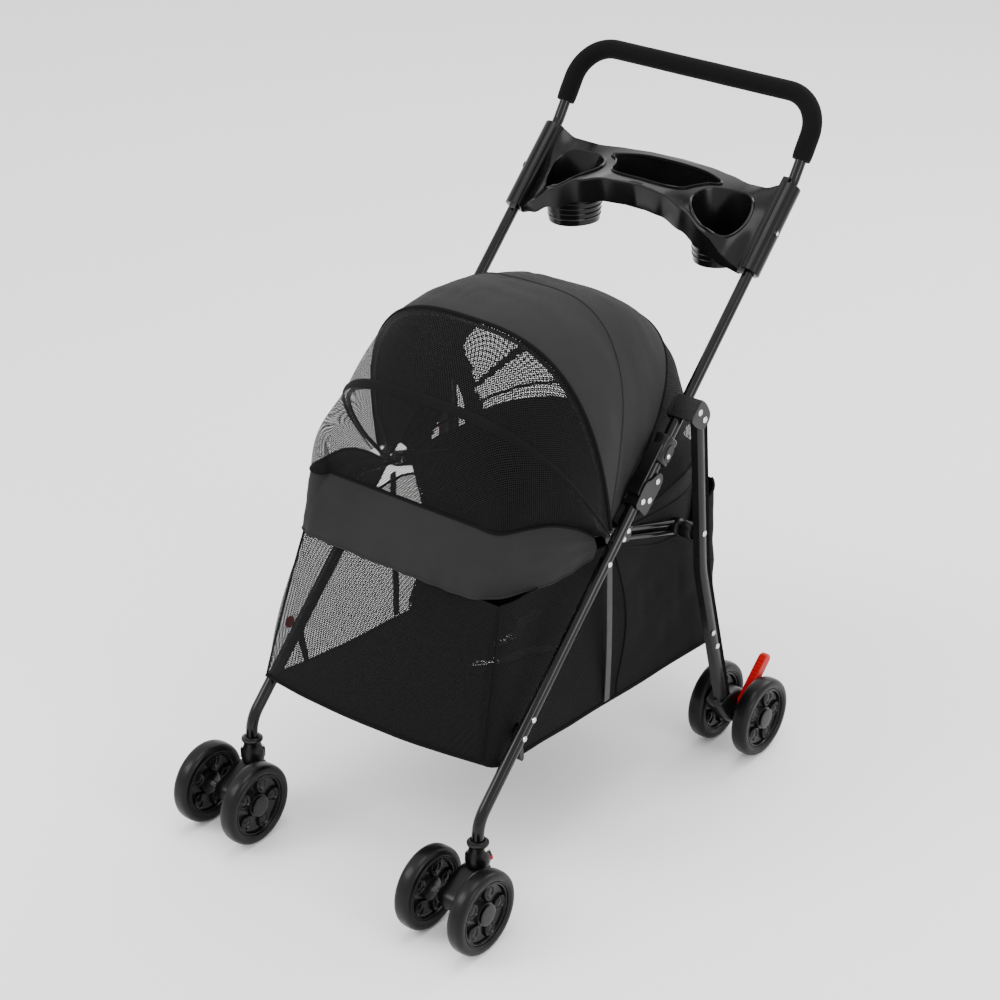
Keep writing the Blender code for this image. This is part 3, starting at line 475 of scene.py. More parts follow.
def prism(outline, place, start, end, bm=None):
    """An outline carried from start to end; place turns (a, b, run) into a point."""
    return loft([[place(a, b, run) for a, b in outline] for run in sorted((start, end))], bm)


def side_point(y, z, x):
    return Vector((x, y, z))


def slope_point(along, across, x):
    return Vector((x, *on_slope(along, across)))


def crowned(outline, place, mid, half, edge, rows, rounding):
    """A pebble-like body: the outline swells from its two sides to the middle."""
    mid_a, mid_b = (sum(values) / len(outline) for values in zip(*outline))
    rings = []
    for i in range(rows):
        t = -math.cos(math.pi * i / (rows - 1))
        k = 1 - rounding * abs(t) ** edge
        ring = [(mid_a + (a - mid_a) * k, mid_b + (b - mid_b) * k) for a, b in outline]
        rings.append([place(a, b, mid + half * t) for a, b in ring])
    return loft(rings)


def turned(profile, centre, axis, sides=48, bm=None):
    """A profile of (distance along the axis, radius) points turned about the axis."""
    along = Vector(axis).normalized()
    first = along.orthogonal().normalized()
    second = along.cross(first)
    rings = []
    for a, r in profile:
        hub = Vector(centre) + along * a
        rings.append([hub + first * u + second * v for u, v in circle(max(r, 1e-5), sides)])
    return loft(rings, bm)


def rivet(bm, place, normal, radius=0.0042):
    """Flanged rivet head with a dimple in its dome."""
    shares = ((-0.6, 1), (0.4, 1), (0.8, 0.9), (1.3, 0.72), (1.8, 0.45), (1.7, 0.3), (1.2, 0.2), (1.2, 0))
    turned([(height / 1000, radius * share) for height, share in shares], place, normal, 20, bm)


def rivets(name, places, normal, radius, body, node=None, slot=None):
    """One piece of equal rivets at the places."""
    bm = bmesh.new()
    for place in places:
        rivet(bm, place, normal, radius)
    shown(name, bm, STEEL, body, node, slot)


# ---- Cloth -----------------------------------------------------------------------------------
def grid_of(rows, columns, point):
    """Rows of points from point(t, s), with t down the rows and s along them, both 0 to 1."""
    return [[point(i / rows, j / columns) for j in range(columns + 1)] for i in range(rows + 1)]


def runs(lengths):
    """Running total of the lengths, from 0."""
    totals = [0.0]
    for length in lengths:
        totals.append(totals[-1] + length)
    return totals


def cloth(name, rows, looks, rests_on, body=None, node=None, slot=None, is_net=None):
    """A sheet through rows of points, with a UV map in metres along its threads.

    is_net(t, s) says which faces take the second look."""
    bm = bmesh.new()
    uv = bm.loops.layers.uv.new("cloth")
    grid = [[bm.verts.new(p) for p in row] for row in rows]
    total, count = len(rows) - 1, len(rows[0]) - 1
    half = rows[len(rows) // 2]
    across = runs((b - a).length for a, b in zip(half, half[1:]))
    down = runs(sum((a - b).length for a, b in zip(one, two)) / len(one) for one, two in zip(rows, rows[1:]))
    for i in range(total):
        for j in range(count):
            corners = ((i, j), (i, j + 1), (i + 1, j + 1), (i + 1, j))
            face = bm.faces.new([grid[m][n] for m, n in corners])
            for loop, (m, n) in zip(face.loops, corners):
                loop[uv].uv = (across[n], down[m])
            if is_net and is_net((i + 0.5) / total, (j + 0.5) / count):
                face.material_index = 1
    obj = shown(name, bm, looks, body, node, slot, smooth=180)
    width, length = round(across[-1], 3), round(down[-1], 3)
    area = sum(face.area for face in obj.data.polygons)
    area = min(max(area, 0.301 * width * length), width * length)
    list(rests_on)
    return obj


def wrinkle(point, scale, seed):
    """Smooth noise in space, from -1 to 1."""
    return noise.noise(Vector(point) * scale + Vector((seed, seed * 1.7, seed * 0.3)))


def piping(name, path, radius, body=None, look=PIPING, slot=None):
    return shown(name, tube(path, radius, 8), look, body, slot=slot)


# ---- Wheels ----------------------------------------------------------------------------------
WHEEL_HALF = 0.013
TREAD_FOOT_R = 0.0505
PETALS = 5
PETAL_AT = 0.0302
PETAL_LONG = 0.0122
PETAL_WIDE = 0.0105
CAP_R = 0.0155


def tyre_profile():
    """Half section of the tyre, from the middle of the tread to the bead."""
    points = []
    for degrees in range(0, 91, 10):
        angle = math.radians(degrees)
        rise = (WHEEL_R - TREAD_FOOT_R) * math.cos(angle) ** 0.62 if degrees < 90 else 0.0
        points.append((WHEEL_HALF * 0.985 * math.sin(angle) ** 0.75, TREAD_FOOT_R + rise))
    bead = ((0.97, 48.8), (0.9, 47.8), (0.88, 47), (0.94, 46.4), (0.92, 45.2), (0.8, 44.6), (0.5, 44.4))
    return points + [(WHEEL_HALF * share, radius / 1000) for share, radius in bead]


def petal(bm, centre, axis, out):
    """Hollow-looking petal spoke: a raised oval lip round a shallow domed dish."""
    across = axis.cross(out)
    levels = ((1, -1.5), (1, 1.6), (0.93, 3), (0.84, 3.2), (0.76, 2.2), (0.62, 1.2), (0.4, 2.6), (0.15, 3.4))
    rings = []
    for k, height in levels:
        base = centre + axis * (height / 1000) + out * PETAL_AT
        ring = [(PETAL_LONG * k * c, PETAL_WIDE * k * s * (1 + 0.22 * c)) for c, s in circle(1, 24)]
        rings.append([base + out * a + across * b for a, b in ring])
    loft(rings, bm)


def wheel(node):
    """Tyre with a rounded tread, and a hub of petal spokes round a flat cap."""
    centre = middle(node)
    half = tyre_profile()
    profile = [(-a, r) for a, r in reversed(half[1:])] + half
    short = node.replace("_wheel", "")
    bm = outward(turned(profile + [profile[0]], centre, AXIS_X, 72))
    shown(f"tyre_{short}", bm, TYRE, node, node, smooth=60)
    face = mm((0, 44.6), (8.5, 44.6), (9.8, 44), (9.8, 42.2), (7.5, 41.2), (4.5, 40.5), (3.5, 39))
    face += mm((3.5, 18.5), (6.5, 17.2), (8.5, 16.6), (9, 15.8), (9.1, 0))
    bm = bmesh.new()
    for axis in (AXIS_X, -AXIS_X):
        turned(face, centre, axis, 60, bm)
        for i in range(PETALS):
            angle = 2 * math.pi * i / PETALS + 0.3
            petal(bm, centre + axis * 0.0048, axis, Vector((0, math.sin(angle), math.cos(angle))))
    shown(f"hub_{short}", bm, HUB_PLASTIC, node, slot=node)


def wheels(hand, _):
    for end in ("front", "rear"):
        for place in ("outer", "inner"):
            wheel(f"{end}_wheel_{place}_{hand}")
    cap = [(0.0, CAP_R - 0.0008), (0.0007, CAP_R), (0.0011, CAP_R - 0.0006), (0.0014, CAP_R - 0.003)]
    cap += mm((1.5, 4), (1.5, 0))
    for end, body in (("front", f"caster_{hand}"), ("rear", "rear_frame")):
        node = f"{end}_axle_{hand}"
        centre, half = span(node)
        pin = AXIS_X * (half.x - 0.003)
        bm = cylinder(bmesh.new(), centre - pin, centre + pin, 0.0039)
        shown(f"{end}_axle_pin_{hand}", bm, STEEL, body, node)
        bm = bmesh.new()
        for way in (1, -1):
            turned([(half.x - 0.0016 + a, r) for a, r in cap], centre, AXIS_X * way, 40, bm)
        shown(f"{end}_hub_caps_{hand}", outward(bm), HUB_PLASTIC, body, slot=node)


# ---- Casters ---------------------------------------------------------------------------------
def caster(hand, side):
    node = f"caster_fork_{hand}"
    centre, size = span(node)
    x, half = centre.x, size.x
    axle = middle(f"front_axle_{hand}")
    hub = (axle.y, axle.z)
    back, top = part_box(node)[1].yz
    outline = near(hub, (-13, -10), (4, -16.5), (20, -13))
    outline += near((back, axle.z), (-14, -8), (-2, 6), (-0.5, 22))
    outline += near((back, top), (-4, -2), (-20, -0.5), (-36, -4))
    outline += near(hub, (4, 17), (-11, 9), (-15.5, 0))
    bm = crowned(rounded_outline(outline, 60), side_point, x, half - 0.0005, 5.0, 13, 0.20)
    collar = near((half, 0), (-4, 11.8), (1.2, 11.2), (2.2, 10), (2.2, 4.4))
    rib = near(hub, (14, 0)) + near((back, top), (-12, -14), (-17, -10)) + near(hub, (8, 8))
    for way in (-1, 1):
        turned(collar, (x, *hub), AXIS_X * way, 32, bm)
        prism(rib, side_point, x + way * (half - 0.006), x + way * (half + 0.0002), bm)
    shown(f"fork_{hand}", outward(bm), PLASTIC, f"caster_{hand}", node)
    socket(hand, side)


def socket(hand, side):
    """Flared cup on the leg's foot with a lipped collar, a rivet and the red release button."""
    node = f"caster_socket_{hand}"
    low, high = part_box(node)
    centre = Vector(((low.x + high.x) / 2, (low.y + high.y) / 2, 0.0))
    z0, z1 = low.z, high.z
    bore = LEG_R + 0.0003
    profile = near((z0, 0), (0, 4), (0, 15), (1, 16.2), (5, 16.8), (12, 16.6), (16.5, 15.2), (20.5, 13.2))
    profile += near((z0, 0), (26, 12.2), (30, 12), (30.6, 14.2), (32, 15.2), (33.8, 15.2), (34.8, 14.2))
    profile += [(z0 + 0.0352, 0.0121), (z1 - 0.0008, 0.0117), (z1, 0.0108), (z1, bore), (z1 - 0.012, bore)]
    bm = turned(profile, centre, AXIS_Z, 48)
    for i in range(4):
        angle = math.pi / 4 + i * math.pi / 2
        out = Vector((math.cos(angle), math.sin(angle), 0))
        across = out.cross(AXIS_Z)
        rib = near((z0, 0.0174), (3, 0), (16, 0), (21, -2.2), (3, -2.2))
        place = lambda a, b, run: centre + out * b + across * run + AXIS_Z * a
        prism(rib, place, -0.0012, 0.0012, bm)
    shown(f"leg_cup_{hand}", outward(bm), PLASTIC, "frame", node)
    out = Vector((side, 0.25, 0)).normalized()
    place = centre + out * 0.0122 + AXIS_Z * (z0 + 0.0262)
    rivets(f"leg_cup_rivet_{hand}", [place], out, 0.0046, "frame", slot=node)
    button = f"release_button_{hand}"
    place = middle(button)
    out = Vector((place.x - centre.x, place.y - centre.y, 0)).normalized()
    profile = mm((-3.4, 0), (-3.4, 4), (1.8, 4), (2.7, 3.6), (3.3, 2.4), (3.4, 0))
    shown(f"button_{hand}", outward(turned(profile, place, out, 28)), RED, f"button_{hand}", button)


# ---- Frame tubes and brackets ----------------------------------------------------------------
PIN_R = 0.003
PLATE = 0.003
PLATE_IN = 0.0088
FRONT_LEG_TOP = 0.370  # along the slope
FRONT_LEG_BEND = 0.05


def front_leg(hand, side):
    node = f"front_leg_{hand}"
    x = side * TUBE_X
    foot_y = middle(f"caster_socket_{hand}").y
    bend = (foot_y * math.sin(SLOPE) + LEG_NORMAL) / math.cos(SLOPE)
    corners = [(x, foot_y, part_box(node)[0].z), (x, foot_y, bend), slope_point(FRONT_LEG_TOP, LEG_NORMAL, x)]
    bm = outward(tube(rounded_path(corners, FRONT_LEG_BEND), LEG_R, 32))
    shown(f"leg_tube_{hand}", bm, GLOSS, "frame", node)
    face = x + side * (LEG_R - 0.0002)
    places = [slope_point(along, LEG_NORMAL, face) for along in (0.2535, 0.0215, -0.0065)]
    rivets(f"leg_rivets_{hand}", places, AXIS_X * side, 0.0042, "frame", slot=node)


def two_plates(outline, web, hand, side, reach_out, body, name, node):
    """A bracket of two plates, one each side of the tube, joined by a web."""
    x = side * TUBE_X
    bm = bmesh.new()
    for way, reach in ((side, reach_out), (-side, PLATE_IN)):
        prism(outline, slope_point, x + way * reach, x + way * (reach + PLATE), bm)
    lap = PLATE - CLEARANCE
    prism(web, slope_point, x - side * (PLATE_IN + lap), x + side * (reach_out + lap), bm)
    shown(f"{name}_{hand}", outward(bm), PLASTIC, body, f"{node}_{hand}", bevel=0.0007)


def fold_joint(hand, side):
    """Riveted fold bracket on the front leg and the sliding lock above it."""
    outline = mm((338, 326.5), (358, 323.5), (387, 323.5), (397, 330.5), (396, 341.5))
    outline += mm((381, 352.5), (372, 360.5), (352, 360.5), (338, 357.5), (337.5, 342.5))
    web = oblong(0.339, 0.372, LEG_NORMAL + LEG_R + CLEARANCE, 0.3597)
    outline = rounded_outline(outline, 56)
    two_plates(outline, web, hand, side, PLATE_IN, "frame", "fold_plates", "fold_bracket")
    face = side * (TUBE_X + PLATE_IN + PLATE)
    centres = mm((350, 347.5), (358, 333.5)) + [to_slope(joint_yz("handle_fold"))]
    places = [slope_point(along, across, face) for along, across in centres]
    rivets(f"fold_rivets_{hand}", places, AXIS_X * side, 0.0045, "frame", f"fold_pin_{hand}")
    lock(hand, side)


def lock(hand, side):
    """Moulded sleeve that slides on the handle, with cheeks and a hooked tongue."""
    node = f"lock_sleeve_{hand}"
    x = side * TUBE_X
    mid = HANDLE_NORMAL + 0.0025
    stations = mm(
        (408.4, 11.8, 14.2), (409.9, 13, 15.6), (412.4, 13.2, 15.8), (416.4, 12.1, 14.6), (432.4, 11.8, 14.4),
        (437.1, 12.1, 14.6), (441.1, 13.1, 15.7), (445.6, 13, 15.6), (447.1, 11.6, 14),
    )
    rings = []
    for along, half_x, half_c in stations:
        rings.append([slope_point(along, mid + b, x + a) for a, b in squircle(half_x, half_c, 3.2, 40)])
    bm = loft(rings)
    cheek = near((0, HANDLE_NORMAL), (415.4, -8), (428.4, -9), (437.1, -6), (439.1, 2))
    cheek += near((0, HANDLE_NORMAL), (433.1, 7), (420.4, 7), (414.4, 2))
    cheek = rounded_outline(cheek, 36)
    for way in (-1, 1):
        prism(cheek, slope_point, x + way * 0.0112, x + way * 0.0132, bm)
    tongue = mm((352, 361.4), (430, 361.4), (430, 365.2), (357.5, 365.6), (353, 363.6))
    lip = mm((352, 361.2), (354.5, 365.5), (358.5, 366), (360, 361.2))
    for outline, half in ((tongue, 0.0095), (lip, 0.0100)):
        prism(outline, slope_point, x - half, x + half, bm)
    shown(f"lock_slider_{hand}", outward(bm), PLASTIC, f"lock_{hand}", node, bevel=0.0008)
    place = slope_point(0.4219, HANDLE_NORMAL - 0.001, x + side * 0.0131)
    rivets(f"lock_rivet_{hand}", [place], AXIS_X * side, 0.0036, f"lock_{hand}", slot=node)


HANDLE_FOOT = 0.378  # along the slope
HANDLE_KNEE = 0.849
HANDLE_BEND = 0.055
GRIP_R = 0.014
GRIP_START = 0.032  # past the knee


def handle():
    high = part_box("handle_tube")[1]
    knee = slope_point(HANDLE_KNEE, HANDLE_NORMAL, TUBE_X)
    top = Vector((TUBE_X, high.y - HANDLE_R, high.z - HANDLE_R))
    corners = mirrored([slope_point(HANDLE_FOOT, HANDLE_NORMAL, TUBE_X), knee, top])
    bm = outward(tube(rounded_path(corners, HANDLE_BEND), HANDLE_R, 32))
    lug = [(0.380, HANDLE_NORMAL), (0.378, 0.333), (0.386, 0.328), (0.394, 0.331), (0.400, HANDLE_NORMAL)]
    for _, side in SIDES:
        prism(rounded_outline(lug, 28), slope_point, side * (TUBE_X - 0.006), side * (TUBE_X + 0.006), bm)
    shown("handle_bar", outward(bm), GLOSS, "handle", "handle_tube")
    corners = mirrored([knee + (top - knee).normalized() * GRIP_START, top])
    path = finely(rounded_path(corners, HANDLE_BEND, 24), 0.006)
    last = len(path) - 1
    rings = []
    for i, (point, first, second) in enumerate(frames(path, AXIS_X)):
        swell = {0: 0.93, 1: 0.99}.get(min(i, last - i), 1.0)
        ring = []
        for a, b in circle(GRIP_R, 36):
            soft = swell * (1 + 0.012 * wrinkle(point + Vector((a, b, 0)), 35, 2.0))
            ring.append(point + first * (a * soft) + second * (b * soft))
        mouth = [point + first * a + second * b for a, b in circle(HANDLE_R + CLEARANCE, 36)]
        rings += [mouth, ring] if i == 0 else [ring, mouth] if i == last else [ring]
    grip = shown("grip_sleeve", outward(loft(rings, caps=False)), FOAM, "handle", "foam_grip")


def leg_bracket(hand, side):
    """Bracket high on the handle that carries the rear leg, with its rivets and pivot heads."""
    low = to_slope(LEG_PIVOT)[1] - 0.011
    outline = [(0.474, 0.336), (0.479, low + 0.004), (0.487, low), (0.496, low), (0.504, low + 0.005)]
    outline += mm((509, 336), (509.2, 349.5), (505, 355.5), (478, 355.5), (473.8, 349.5))
    web = oblong(0.4748, 0.5082, HANDLE_NORMAL + HANDLE_R + CLEARANCE, 0.3549)
    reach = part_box("leg_bracket_left")[1].x - PLATE - TUBE_X
    two_plates(rounded_outline(outline, 60), web, hand, side, reach, "handle", "leg_plates", "leg_bracket")
    out = AXIS_X * side
    face = side * (TUBE_X + reach + PLATE)
    bm = bmesh.new()
    rivet(bm, Vector((face, *LEG_PIVOT)), out, 0.0048)
    rivet(bm, slope_point(0.4935, HANDLE_NORMAL + 0.002, face), out, 0.0048)
    cylinder(bm, (face - side * 0.001, *LEG_PIVOT), (side * (TUBE_X - 0.0125), *LEG_PIVOT), PIN_R)
    rivet(bm, Vector((side * (TUBE_X - PLATE_IN - PLATE), *LEG_PIVOT)), -out)
    shown(f"leg_bracket_rivets_{hand}", bm, STEEL, "handle", f"leg_pin_{hand}")


# ---- Tray ------------------------------------------------------------------------------------
def along_table(table, value):
    """Smooth value of a (position, value) table at a position."""
    for (a, p), (b, q) in zip(table, table[1:]):
        if value <= b:
            t = (value - a) / (b - a)
            return p + (q - p) * (t * t * (3 - 2 * t) * 0.5 + t * 0.5)
    return table[-1][1]


# each table goes from the tray's middle out to its end
TRAY_TOP = 0.818
TRAY_END = TUBE_X - 0.0135
TRAY_FRONT = mm((0, 277), (50, 271), (90, 260), (130, 252.5), (165, 253)) + [(TRAY_END, 0.26)]
TRAY_FRONT_Z = mm((0, 818), (50, 816.5), (90, 807.5), (130, 785), (165, 759)) + [(TRAY_END, 0.744)]
TRAY_BACK = mm((0, 396.5), (50, 393), (90, 384), (130, 369), (165, 357)) + [(TRAY_END, 0.359)]
TRAY_BACK_Z = mm((0, 818), (90, 818), (130, 819), (165, 825)) + [(TRAY_END, 0.8345)]
FRONT_SKIRT = mm((0, 37), (70, 37), (115, 34), (150, 22)) + [(TRAY_END, 0.011)]
BACK_SKIRT = 0.0165
CUP_R = 0.0445
CUP_AT = Vector((0.1265, 0.3025))
CUP_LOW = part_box("tray")[0].z
CUP_TAPER = 0.86
BIN_LOW = 0.772
TRAY_WALL = 0.0026


def tray_point(x, v):
    """Point of the tray's top surface: v is 0 at its front edge and 1 at its back."""
    out = abs(x)
    y = (1 - v) * along_table(TRAY_FRONT, out) + v * along_table(TRAY_BACK, out)
    rise = v * v * (3 - 2 * v) * 0.35 + v * 0.65
    z = (1 - rise) * along_table(TRAY_FRONT_Z, out) + rise * along_table(TRAY_BACK_Z, out)
    closeness = max(0.0, 1 - (Vector((out, y)) - CUP_AT).length / 0.062)
    z += (TRAY_TOP - z) * min(1.0, closeness * 1.5) * 0.12
    return Vector((x, y, z))


def tray_height(x, y):
    """Height of the tray's top surface above a point."""
    front, back = along_table(TRAY_FRONT, abs(x)), along_table(TRAY_BACK, abs(x))
    return tray_point(x, min(1.0, max(0.0, (y - front) / (back - front)))).z


def cup_outline(side, radius, count=64):
    """The cup's mouth: round, drawn out a little in three directions."""
    points = []
    for i in range(count):
        angle = 2 * math.pi * i / count
        reach = radius * (1 + 0.036 * math.cos(3 * (angle + math.pi / 2)))
        points.append((side * (CUP_AT.x + reach * math.cos(angle)), CUP_AT.y + reach * math.sin(angle)))
    return points


def bin_outline(inset):
    """The middle bin's mouth, bowed along with the tray."""
    half = mm((0, 377), (45, 374), (76, 365), (94, 354), (91, 347), (80, 341))
    half += mm((70, 325), (62, 305), (45, 294), (0, 291.5))
    flat = rounded_outline(half + [(-x, y) for x, y in reversed(half[1:-1])], 72)
    mid_y = 0.333
    return [(a * (1 - inset / 0.094), mid_y + (b - mid_y) * (1 - inset / 0.043)) for a, b in flat]


def well(bm, outline, low, taper):
    """A hollow with a raised bead round its mouth, side walls and a dished floor."""
    mid_x, mid_y = (sum(values) / len(outline) for values in zip(*outline))
    step = TRAY_WALL / max(abs(a - mid_x) for a, _ in outline)
    inner = low + TRAY_WALL

    def ring(k, height=None, lift=0.0):
        flat = [(mid_x + (a - mid_x) * k, mid_y + (b - mid_y) * k) for a, b in outline]
        heights = [tray_height(*p) + lift if height is None else height for p in outline]
        return [(x, y, z) for (x, y), z in zip(flat, heights)]

    bead = ((0, -4), (0.6, 0.2), (0.55, 2), (-0.1, 2.8), (-0.75, 2.2), (-1, 0.2))
    rings = [ring(taper, low)] + [ring(1 + k * step, lift=lift / 1000) for k, lift in bead]
    rings += [ring(taper - step * 1.1, inner + 0.003), ring((taper - step) * 0.88, inner)]
    rings.append(ring(0.2, inner - 0.0004))
    loft(rings, bm)


def tray_plate():
    """The tray's top and skirt as one skin, thickened, with the cups and the bin cut out of it."""
    columns = 96
    bm = bmesh.new()
    rows = grid_of(24, columns, lambda t, s: tray_point(TRAY_END * (2 * s - 1), t))
    grid = [[bm.verts.new(p) for p in row] for row in rows]
    for one, two in zip(grid, grid[1:]):
        for i in range(columns):
            bm.faces.new((one[i], one[i + 1], two[i + 1], two[i]))
    edge = grid[0] + [row[-1] for row in grid[1:]] + grid[-1][-2::-1] + [row[0] for row in grid[-2:0:-1]]
    tray_middle = Vector((0.0, 0.325, 0.0))
    previous = edge
    for inset, fall, share in mm((-1.2, 1.4, 0), (-1.4, 4, 0), (0.8, 0, 900), (1.6, 0, 1000)):
        ring = []
        for place in (vert.co for vert in edge):
            away = (Vector((place.x * 0.6, place.y, 0)) - tray_middle).normalized()
            front = min(1.0, max(0.0, (0.30 - place.y) / 0.02))
            depth = BACK_SKIRT + (along_table(FRONT_SKIRT, abs(place.x)) - BACK_SKIRT) * front
            at_end = 0.35 if abs(place.x) > TRAY_END - 0.001 else 1.0
            ring.append(bm.verts.new(place - away * inset * at_end - AXIS_Z * (fall + depth * share)))
        for i in range(len(edge)):
            j = (i + 1) % len(edge)
            bm.faces.new((previous[j], previous[i], ring[i], ring[j]))
        previous = ring
    plate = shown("tray_top", outward(bm), TRAY_PLASTIC, "handle", "tray")
    wall = plate.modifiers.new("wall", "SOLIDIFY")
    wall.thickness = 0.0024
    wall.offset = -1
    mouths = [cup_outline(side, CUP_R - wall.thickness) for _, side in SIDES] + [bin_outline(0.002)]
    cutters = []
    for outline in mouths:
        mesh = bpy.data.meshes.new("cutter")
        outward(prism(outline, lambda a, b, run: (a, b, run), 0.70, 0.90)).to_mesh(mesh)
        cutters.append(bpy.data.objects.new("cutter", mesh))
        bpy.context.scene.collection.objects.link(cutters[-1])
        cut = plate.modifiers.new("well", "BOOLEAN")
        cut.operation = "DIFFERENCE"
        cut.solver = "EXACT"
        cut.object = cutters[-1]
    bpy.context.view_layer.update()
    graph = bpy.context.evaluated_depsgraph_get()
    plate.data = bpy.data.meshes.new_from_object(plate.evaluated_get(graph))
    plate.modifiers.clear()
    for cutter in cutters:
        bpy.data.objects.remove(cutter, do_unlink=True)
    plate.data.shade_smooth()
    plate.data.set_sharp_from_angle(angle=math.radians(50))


def tray():
    tray_plate()
    bm = bmesh.new()
    for _, side in SIDES:
        well(bm, cup_outline(side, CUP_R - 0.001), CUP_LOW, CUP_TAPER)
    well(bm, bin_outline(0.0), BIN_LOW, 0.94)
    shown("tray_wells", outward(bm), TRAY_PLASTIC, "handle", slot="tray")
    bm = bmesh.new()
    for _, side in SIDES:
        x, y = side * CUP_AT.x, CUP_AT.y
        for z in (0.737, 0.745, 0.753, 0.761, 0.769):
            k = 1.004 * (CUP_TAPER + (1 - CUP_TAPER) * (z - CUP_LOW) / 0.082)
            mouth = cup_outline(side, CUP_R - 0.001, 56)
            tube([Vector((x + (a - x) * k, y + (b - y) * k, z)) for a, b in mouth], 0.0011, 6, True, bm)
    shown("tray_cup_ribs", outward(bm), TRAY_PLASTIC, "handle", slot="tray")
    for hand, side in SIDES:
        half_clamp(f"tray_sleeve_{hand}", side, -1, None)
        half_clamp(f"clamp_{hand}", side, 1, f"tray_clamp_{hand}")


def half_clamp(name, side, way, node):
    """Half of the long round sleeve that clips the tray to the handle: the tray's half has a flange,
    the other half a screw in its boss."""
    x = side * TUBE_X
    turn = side * way
    bore = HANDLE_R + CLEARANCE
    rings = []
    for along, radius in mm((704, 13.8), (705, 15), (708, 15), (838, 15), (841, 15), (842, 13.8)):
        ring = []
        for reach, angles in ((radius, range(0, 181, 9)), (bore, range(180, -1, -9))):
            for angle in (math.radians(degrees - 90) for degrees in angles):
                out = reach * math.cos(angle) + CLEARANCE
                ring.append(slope_point(along, HANDLE_NORMAL + reach * math.sin(angle), x + turn * out))
        rings.append(ring)
    bm = loft(rings)
    if way < 0:
        flange = rounded_outline(mm((706, 0), (710, 0), (836, 0), (840, 0), (840, 4.5), (706, 4.5)), 40)
        flange = [(a, HANDLE_NORMAL + 0.0085 + b) for a, b in flange]
        prism(flange, slope_point, x + turn * 0.0004, x + turn * 0.0105, bm)
    shown(name, outward(bm), TRAY_PLASTIC, "handle", node, "tray")
    if way > 0:
        place = slope_point(0.769, HANDLE_NORMAL + 0.002, x + turn * 0.0148)
        out = AXIS_X * turn
        boss = mm((-3, 6.2), (0.6, 6), (1.2, 5.4), (1.2, 3.6), (0.2, 3.4), (0.2, 0))
        shown(f"{name}_boss", outward(turned(boss, place, out, 28)), TRAY_PLASTIC, "handle", slot=node)
        rivets(f"{name}_screw", [place + out * 0.0004], out, 0.0032, "handle", slot=node)


# ---- Seat rails, rim and basket wire ---------------------------------------------------------
RAIL_X = 0.1848
RAIL_R = 0.0045
RAIL_END = (0.138, 0.393)
RIM_X = 0.1760
RIM_R = 0.0040
RIM_BEND = 0.05
BASKET_X = 0.1755
BASKET_R = 0.0035
BASKET_BEND = 0.03
BASKET_FRONT = (-0.262, 0.1985)
BASKET_REAR = (0.150, 0.1655)
BASKET_ARM_FOOT = (-0.230, 0.1957)


def rail_line(share, across):
    """y and z at a share of the rail's run, and across from it."""
    start = Vector(RAIL_PIVOT)
    run = Vector(RAIL_END) - start
    return tuple(start + run * share + Vector((-run.y, run.x)).normalized() * across)


def seat_rail(hand, side):
    node = f"seat_rail_{hand}"
    x = side * RAIL_X
    out = AXIS_X * side
    bm = bmesh.new()
    for shares, across in (((0.16, 0.96), 0.003), ((0.06, 0.96), -0.010)):
        tube([Vector((x, *rail_line(share, across))) for share in shares], RAIL_R, bm=bm)
    shown(f"rail_tubes_{hand}", outward(bm), GLOSS, "seat_rails", node)
    plate = ((-0.04, 4), (0, 8), (0.15, 8.2), (0.29, 8), (0.31, 2), (0.305, -10), (0.28, -14.5))
    plate += ((0.12, -14.8), (0, -14), (-0.045, -4))
    outline = rounded_outline([rail_line(share, across / 1000) for share, across in plate], 56)
    face = x + side * 0.0044
    bm = prism(outline, side_point, x + side * 0.0012, face)
    shown(f"rail_plate_{hand}", outward(bm), PLASTIC, "seat_rails", slot=node, bevel=0.0006)
    profile = mm((-5, 0), (-5, 11.2), (-3.5, 12.5), (6, 12.5), (7.5, 11.2), (12, 10.6), (13.5, 12.2))
    profile += mm((28.7, 12.2), (30.7, 10.8), (30.7, 0))
    bm = turned(profile, (x, *rail_line(0.97, -0.0015)), out, 40)
    shown(f"rail_socket_{hand}", outward(bm), PLASTIC, "seat_rails", slot=node)
    centres = ((0.07, 0.001), (0.17, 0.001), (0.262, 0.001), (0.225, -0.0105))
    places = [Vector((face, *rail_line(*centre))) for centre in centres]
    rivets(f"rail_rivets_{hand}", places, out, 0.0040, "seat_rails", slot=node)
    centre, size = span(f"rail_pin_{hand}")
    half = size.x
    profile = near((-half, 0), (0, 0), (0, 4.4), (1.6, 5), (2, 5))
    profile += [(0.002 - half, PIN_R), (half, PIN_R), (half, 0.0)]
    bm = outward(turned(profile, centre, out, 28))
    shown(f"rail_pin_steel_{hand}", bm, STEEL, "frame", f"rail_pin_{hand}")


def rim_wire():
    y, z = RAIL_PIVOT
    half = [(RIM_X, y - 0.010, z + 0.001), (RIM_X, -0.120, 0.468), (RAIL_X - 0.045, -0.214, 0.478)]
    bm = tube(rounded_path(mirrored(half), RIM_BEND), RIM_R, 20)
    eye = mm((-1, 3.2), (-1, 7.4), (0, 8), (7.8, 8), (8.6, 7.4), (8.6, 3.2))
    for _, side in SIDES:
        turned(eye, (side * RIM_X, y, z), AXIS_X * side, 32, bm)
    shown("rim_wire", outward(bm), GLOSS, "rim", "rim_tube")


